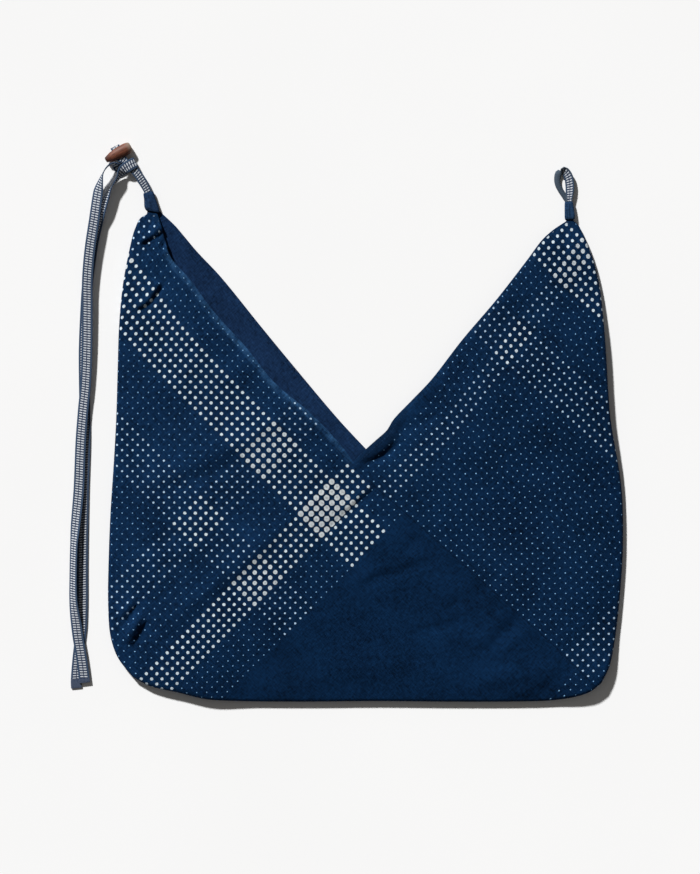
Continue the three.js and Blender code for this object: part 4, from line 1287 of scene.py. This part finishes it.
for label, value in (
    ("Dot", work_out("MULTIPLY", dot, dotted)), ("Strength", strength), ("Seam", seam), ("Heart", heart),
):
    check_group.links.new(value, end.inputs[label])
print("dot check group:", len(check_group.nodes), "nodes")

# %% [markdown]
# Every material starts with the same nodes and ends with a colour and a bump. The bump heights are
# in millimetres, with the Bump node's distance at one millimetre, which keeps the relief at its
# real size.

# %% Material helpers
CREASE_HEIGHT = 0.7
CREASE_SCALE = 0.075


def start_material(name, roughness, specular):
    """The nodes of a material and its shader, which has a plain roughness and gloss at first."""
    material = finish_named(name)
    material.use_nodes = True
    tree = material.node_tree
    tree.nodes.clear()
    surface = new_node(
        tree, "ShaderNodeBsdfPrincipled", {"Roughness": roughness, "Specular IOR Level": specular}
    )
    new_node(tree, "ShaderNodeOutputMaterial", {0: surface.outputs[0]})
    return tree, surface


def object_place(tree):
    return new_node(tree, "ShaderNodeTexCoord").outputs["Object"]


def map_place(tree, name="UVMap"):
    return new_node(tree, "ShaderNodeUVMap", uv_map=name).outputs[0]


def scaled(tree, vector, factor):
    return new_node(tree, "ShaderNodeVectorMath", {0: vector, "Scale": factor}, operation="SCALE").outputs[0]


def finish_surface(tree, surface, colour, height):
    """Puts the colour and a relief, its height in millimetres, on the shader."""
    bump = new_node(tree, "ShaderNodeBump", {"Height": height, "Distance": MM, "Strength": 1.0})
    set_input(tree, surface.inputs["Base Color"], colour)
    set_input(tree, surface.inputs["Normal"], bump.outputs[0])


def small_creases(tree, place_mm):
    """Soft relief between the modelled folds and the threads, a few millimetres across."""
    creases = noise(tree, place_mm, CREASE_SCALE, 3.0, roughness=0.5, distortion=0.4)
    return calculate(tree, "MULTIPLY", creases, CREASE_HEIGHT)


# %% [markdown]
# The hem along the mouth is read from HemMap. Left of the V's tip its raised edge, which faces the
# light, gets a painted highlight in patches, as far as the neck, and a faint one runs along the rest
# of the mouth. Just right of the tip the hem gets painted shade.

# %% Hem of the mouth
HIGHLIGHT_BAND = (8.0, 1.5)
HIGHLIGHT_LEFT = (10.0, -30.0)
HIGHLIGHT_BELOW_NECK = (-295.0, -262.0)
HIGHLIGHT_SHARES = (0.6, 0.06)
HIGHLIGHT_PATCHES = (0.35, 0.6)
PATCH_SCALE = 0.12
PATCH_SHARES = (0.75, 0.25)
HEM_SHADE_BAND = (15.0, 6.0)
HEM_SHADE_FROM = (0.0, 12.0)
HEM_SHADE_TO = (90.0, 45.0)
HEM_SHADE_SHARE = 0.6
# Colours of the painted highlight on the hem and of the painted shade beside the V's tip.
HIGHLIGHT_COLOUR = linear(46, 84, 124)
HEM_SHADE_COLOUR = linear(6, 20, 38)


def hem_painted_light(tree, dye_and_painted_light):
    """The dye with the hem's painted highlight and its painted shade."""
    work_out, step = partial(calculate, tree), partial(ramp, tree)
    hem_place = map_place(tree, "HemMap")
    from_edge, from_tip = separate(tree, hem_place)[:2]
    left = work_out("MULTIPLY", step(from_tip, *HIGHLIGHT_LEFT), step(from_tip, *HIGHLIGHT_BELOW_NECK))
    share = work_out("MULTIPLY_ADD", left, *HIGHLIGHT_SHARES)
    share = work_out("MULTIPLY", step(from_edge, *HIGHLIGHT_BAND), share)
    patches = step(noise(tree, hem_place, PATCH_SCALE, 2.0), *HIGHLIGHT_PATCHES)
    share = work_out("MULTIPLY", share, work_out("MULTIPLY_ADD", patches, *PATCH_SHARES))
    # Painted highlight along the hem, in patches.
    dye_and_painted_light = mix_colours(tree, share, dye_and_painted_light, HIGHLIGHT_COLOUR)
    # Painted shade on the hem just right of the V's tip.
    beside_tip = work_out("MULTIPLY", step(from_tip, *HEM_SHADE_FROM), step(from_tip, *HEM_SHADE_TO))
    hem_shade = work_out("MULTIPLY", beside_tip, step(from_edge, *HEM_SHADE_BAND))
    return mix_colours(tree, work_out("MULTIPLY", hem_shade, HEM_SHADE_SHARE), dye_and_painted_light, HEM_SHADE_COLOUR)


# %% [markdown]
# The dots are left pale in the dark dye. Their rim wobbles a little, some are worn, and they stop
# at the rolled edge and at the neck. The seam is a thin groove in the relief, with painted shade
# along it.

# %% Dots of the print
WOBBLE_SCALE = 0.9
WOBBLE = 0.9
WEAR_SCALE = 0.35
WEAR_SPAN = (0.25, 0.6)
WEAR_SHARE = 0.3
HEART_SHARE = 0.45
SEAM_SHADE_SHARE = 0.25
SEAM_DEPTH = 0.3
DOTS_FROM_EDGE = (1.0, 2.2)
DOTS_BELOW_NECK = (207.0, 204.0)
SMALL_DOT = linear(134, 184, 228)
MIDDLE_DOT = linear(208, 223, 232)
BIG_DOT = linear(196, 203, 207)
SMALL_TO_MIDDLE = (0.0, 2.0)
MIDDLE_TO_BIG = (2.0, 3.6)
DOT_HEART = linear(166, 158, 154)
# Colour of the painted shade along the seam.
SEAM_SHADE_COLOUR = linear(6, 12, 24)


def print_dots(tree, uv, place_mm, dyed_with_painted_light, height):
    """The pale dots. Small ones look blue, because the dye creeps in from their rim."""
    work_out, step = partial(calculate, tree), partial(ramp, tree)
    wobble = work_out("MULTIPLY_ADD", noise(tree, place_mm, WOBBLE_SCALE, 2.0), WOBBLE, -WOBBLE / 2)
    check = use_group(tree, check_group, {"Cells": uv, "Edge Wobble": wobble}).outputs
    colour = mix_colours(tree, step(check["Strength"], *SMALL_TO_MIDDLE), SMALL_DOT, MIDDLE_DOT)
    colour = mix_colours(tree, step(check["Strength"], *MIDDLE_TO_BIG), colour, BIG_DOT)
    colour = mix_colours(tree, work_out("MULTIPLY", check["Heart"], HEART_SHARE), colour, DOT_HEART)
    worn = step(noise(tree, place_mm, WEAR_SCALE, 3.0), *WEAR_SPAN)
    dot = work_out("MULTIPLY", check["Dot"], work_out("MULTIPLY_ADD", worn, WEAR_SHARE, 1 - WEAR_SHARE))
    from_edge = separate(tree, map_place(tree, "HemMap"))[0]
    dot = work_out("MULTIPLY", dot, step(from_edge, *DOTS_FROM_EDGE))
    dot = work_out("MULTIPLY", dot, step(separate(tree, place_mm)[1], *DOTS_BELOW_NECK))
    dyed_with_painted_light = mix_colours(tree, dot, dyed_with_painted_light, colour)
    # Painted shade along the seam's groove.
    dyed_with_painted_light = mix_colours(tree, work_out("MULTIPLY", check["Seam"], SEAM_SHADE_SHARE), dyed_with_painted_light, SEAM_SHADE_COLOUR)
    return dyed_with_painted_light, work_out("MULTIPLY_ADD", check["Seam"], -SEAM_DEPTH, height)


# %% [markdown]
# One function makes the printed side, the plain inside and the sleeves. The threads run along the
# strip, so the weave uses the same map as the print. Each cotton has two colours, mixed by a step
# towards the low right. On the printed side and the inside the second colour is darker: painted
# shade away from the light. The sleeves' second colour is greener, so the right sleeve is greener.

# %% Cotton materials
THREAD = 0.62
THREAD_SHADES = (0.35, 0.82)
WEAVE_HEIGHT = 0.16
UNEVENNESS = 1.35
CLOUD_SIZE = 40.0
FAR_SIDE = (-60.0, 180.0)


def woven_cloth(name, colour, far_colour, unit, printed):
    """A plain woven cotton. Unit is the millimetres in one step of the piece's map."""
    tree, surface = start_material(name, roughness=0.95, specular=0.04)
    work_out = partial(calculate, tree)
    uv = map_place(tree)
    place_mm = scaled(tree, object_place(tree), 1 / MM)
    cloth_mm = scaled(tree, uv, unit)
    weave = use_group(tree, weave_group, {"Place": cloth_mm, "Thread": THREAD}).outputs[0]
    uneven = use_group(
        tree, uneven_group,
        {"Place": place_mm, "Threads": cloth_mm, "Cloud Size": CLOUD_SIZE, "Strength": UNEVENNESS},
    ).outputs[0]
    shade = work_out("MULTIPLY", uneven, work_out("MULTIPLY_ADD", weave, *THREAD_SHADES))
    lower_right = work_out("SUBTRACT", *separate(tree, place_mm)[:2])
    # Painted shade on the printed side and the inside: darker towards the low right, away from the light. On
    # the sleeves this step only makes the right one greener.
    dye_and_painted_light = mix_colours(tree, ramp(tree, lower_right, *FAR_SIDE), colour, far_colour)
    if printed:
        dye_and_painted_light = hem_painted_light(tree, dye_and_painted_light)
    dyed_with_painted_light = scaled(tree, dye_and_painted_light, shade)
    height = work_out("MULTIPLY_ADD", weave, WEAVE_HEIGHT, small_creases(tree, place_mm))
    if printed:
        dyed_with_painted_light, height = print_dots(tree, uv, place_mm, dyed_with_painted_light, height)
    finish_surface(tree, surface, dyed_with_painted_light, height)


woven_cloth("dotted_cloth", linear(12, 39, 70), linear(8, 34, 63), PITCH, printed=True)
woven_cloth("cloth_inside", linear(21, 43, 74), linear(16, 39, 69), PITCH, printed=False)
woven_cloth("sleeve_cloth", linear(31, 52, 82), linear(32, 64, 88), 1.0, printed=False)

# %% [markdown]
# The tape is woven in navy with two rows of short off-white bars across it. Its map runs across in
# millimetres first and along in millimetres second, so the bars follow every bend. The strap's two
# ends are turned under and sewn, so they show no bars. The tape's wrong side is a plain dull blue.

# %% Tape materials
BAR_PITCH = 2.5
BAR_LENGTH = 3.2
BAR_HALF_HEIGHT = 0.62
BAR_BLUR = 0.18
BAR_CENTRE = 1.95
BAR_SLANT = 0.12
BAR_RELIEF = 0.22
ROW_BLUR = (0.15, -0.3)
RIM = (3.4, 4.2)
FIRST_END = (5.0, 4.6)
LAST_END = (1089.6, 1090)
TAPE_THREAD = 0.65
TAPE_WEAVE_HEIGHTS = (0.15, 0.2)
TAPE_GROUND = linear(42, 54, 80)
TAPE_RIM = linear(60, 78, 102)
TAPE_END = linear(72, 82, 102)
TAPE_BAR = linear(200, 206, 212)
TAPE_BACK = (linear(48, 62, 78), linear(86, 98, 110))


def tape_weave(tree, uv):
    return use_group(tree, weave_group, {"Place": uv, "Thread": TAPE_THREAD}).outputs[0]


def tape_front():
    tree, surface = start_material("barred_tape", roughness=0.88, specular=0.05)
    work_out, step = partial(calculate, tree), partial(ramp, tree)
    uv = map_place(tree)
    across, along = separate(tree, uv)[:2]
    from_middle = work_out("ABSOLUTE", across)
    turns = work_out("DIVIDE", work_out("MULTIPLY_ADD", across, BAR_SLANT, along), BAR_PITCH)
    from_bar = work_out("ABSOLUTE", work_out("SUBTRACT", work_out("FRACT", turns), 0.5))
    from_bar = work_out("MULTIPLY", from_bar, BAR_PITCH)
    on_bar = step(from_bar, BAR_HALF_HEIGHT + BAR_BLUR, BAR_HALF_HEIGHT - BAR_BLUR)
    from_row = work_out("ABSOLUTE", work_out("SUBTRACT", from_middle, BAR_CENTRE))
    in_row = step(from_row, *(BAR_LENGTH / 2 + blur for blur in ROW_BLUR))
    uneven = use_group(
        tree, uneven_group,
        {
            "Place": scaled(tree, object_place(tree), 1 / MM), "Threads": uv,
            "Cloud Size": 8.0, "Strength": 0.6,
        },
    ).outputs[0]
    bars = work_out("MULTIPLY", work_out("MULTIPLY", on_bar, in_row), uneven, clamp=True)
    sewn_end = work_out("MAXIMUM", step(along, *FIRST_END), step(along, *LAST_END))
    bars = work_out("MULTIPLY", bars, work_out("SUBTRACT", 1.0, sewn_end))
    colour = mix_colours(tree, step(from_middle, *RIM), TAPE_GROUND, TAPE_RIM)
    colour = mix_colours(tree, sewn_end, colour, TAPE_END)
    colour = mix_colours(tree, bars, colour, TAPE_BAR)
    threads = work_out("MULTIPLY", tape_weave(tree, uv), TAPE_WEAVE_HEIGHTS[0])
    finish_surface(tree, surface, colour, work_out("MULTIPLY_ADD", bars, BAR_RELIEF, threads))


def tape_back():
    tree, surface = start_material("tape_back", roughness=0.9, specular=0.05)
    weave = tape_weave(tree, map_place(tree))
    colour = mix_colours(tree, weave, *TAPE_BACK)
    finish_surface(tree, surface, colour, calculate(tree, "MULTIPLY", weave, TAPE_WEAVE_HEIGHTS[1]))


tape_front()
tape_back()

# %% [markdown]
# The toggle's wood is a reddish brown with fine grain along it and a soft polish. The grain is a
# noise stretched along the toggle, so the place is turned back by the toggle's own angle first.
# One end is darker and the other paler.

# %% Wood material
GRAIN_STRETCH = (0.09, 1.0, 1.0)
GRAIN_SCALE = 1.4
GRAIN_DETAIL = 5.0
GRAIN_SPAN = (0.35, 0.68)
GRAIN_ROUGHNESS = (0.3, 0.4)
GRAIN_HEIGHT = 0.08
DARK_END = (-7.0, -14.0)
PALE_END = (8.5, 14.0)
WOOD_STREAKS = (linear(74, 36, 24), linear(130, 76, 54))
WOOD_DARK = linear(58, 24, 16)
WOOD_PALE = linear(132, 112, 100)


def wood_material():
    tree, surface = start_material("polished_wood", roughness=0.5, specular=0.35)
    centred = new_node(
        tree, "ShaderNodeMapping",
        {"Vector": object_place(tree), "Location": tuple(in_frame(TOGGLE_PLACE)),
         "Rotation": (0, 0, TOGGLE_TURN), "Scale": (MM, MM, MM)},
        vector_type="TEXTURE",
    ).outputs[0]
    stretched = new_node(tree, "ShaderNodeMapping", {"Vector": centred, "Scale": GRAIN_STRETCH})
    grain = noise(tree, stretched.outputs[0], GRAIN_SCALE, GRAIN_DETAIL, roughness=0.65)
    along = separate(tree, centred)[0]
    colour = mix_colours(tree, ramp(tree, grain, *GRAIN_SPAN), *WOOD_STREAKS)
    colour = mix_colours(tree, ramp(tree, along, *DARK_END), colour, WOOD_DARK)
    colour = mix_colours(tree, ramp(tree, along, *PALE_END), colour, WOOD_PALE)
    rough = calculate(tree, "MULTIPLY_ADD", grain, *GRAIN_ROUGHNESS)
    set_input(tree, surface.inputs["Roughness"], rough)
    finish_surface(tree, surface, colour, calculate(tree, "MULTIPLY", grain, GRAIN_HEIGHT))


wood_material()

# %% [markdown]
# The thread is a shade paler than the cloth, with a fine twist. The floor is plain.

# %% Thread and floor materials
TWIST_HEIGHT = 0.06
THREAD_COLOURS = (linear(20, 44, 76), linear(34, 64, 100))
FLOOR_COLOURS = (linear(244, 244, 244), linear(248, 248, 248))

tree, surface = start_material("sewing_thread", roughness=0.75, specular=0.15)
thread_mm = scaled(tree, object_place(tree), 1 / MM)
twist = new_node(
    tree, "ShaderNodeTexWave", {"Vector": thread_mm, "Scale": 1.6, "Distortion": 1.0}
).outputs[1]
colour = mix_colours(tree, twist, *THREAD_COLOURS)
finish_surface(tree, surface, colour, calculate(tree, "MULTIPLY", twist, TWIST_HEIGHT))

tree, surface = start_material("pale_floor", roughness=0.95, specular=0.1)
colour = mix_colours(tree, noise(tree, object_place(tree), 3.0, 2.0), *FLOOR_COLOURS)
set_input(tree, surface.inputs["Base Color"], colour)
floor.data.materials.append(finish_named("pale_floor"))
print("materials:", sorted(material.name for material in bpy.data.materials if material.use_nodes))
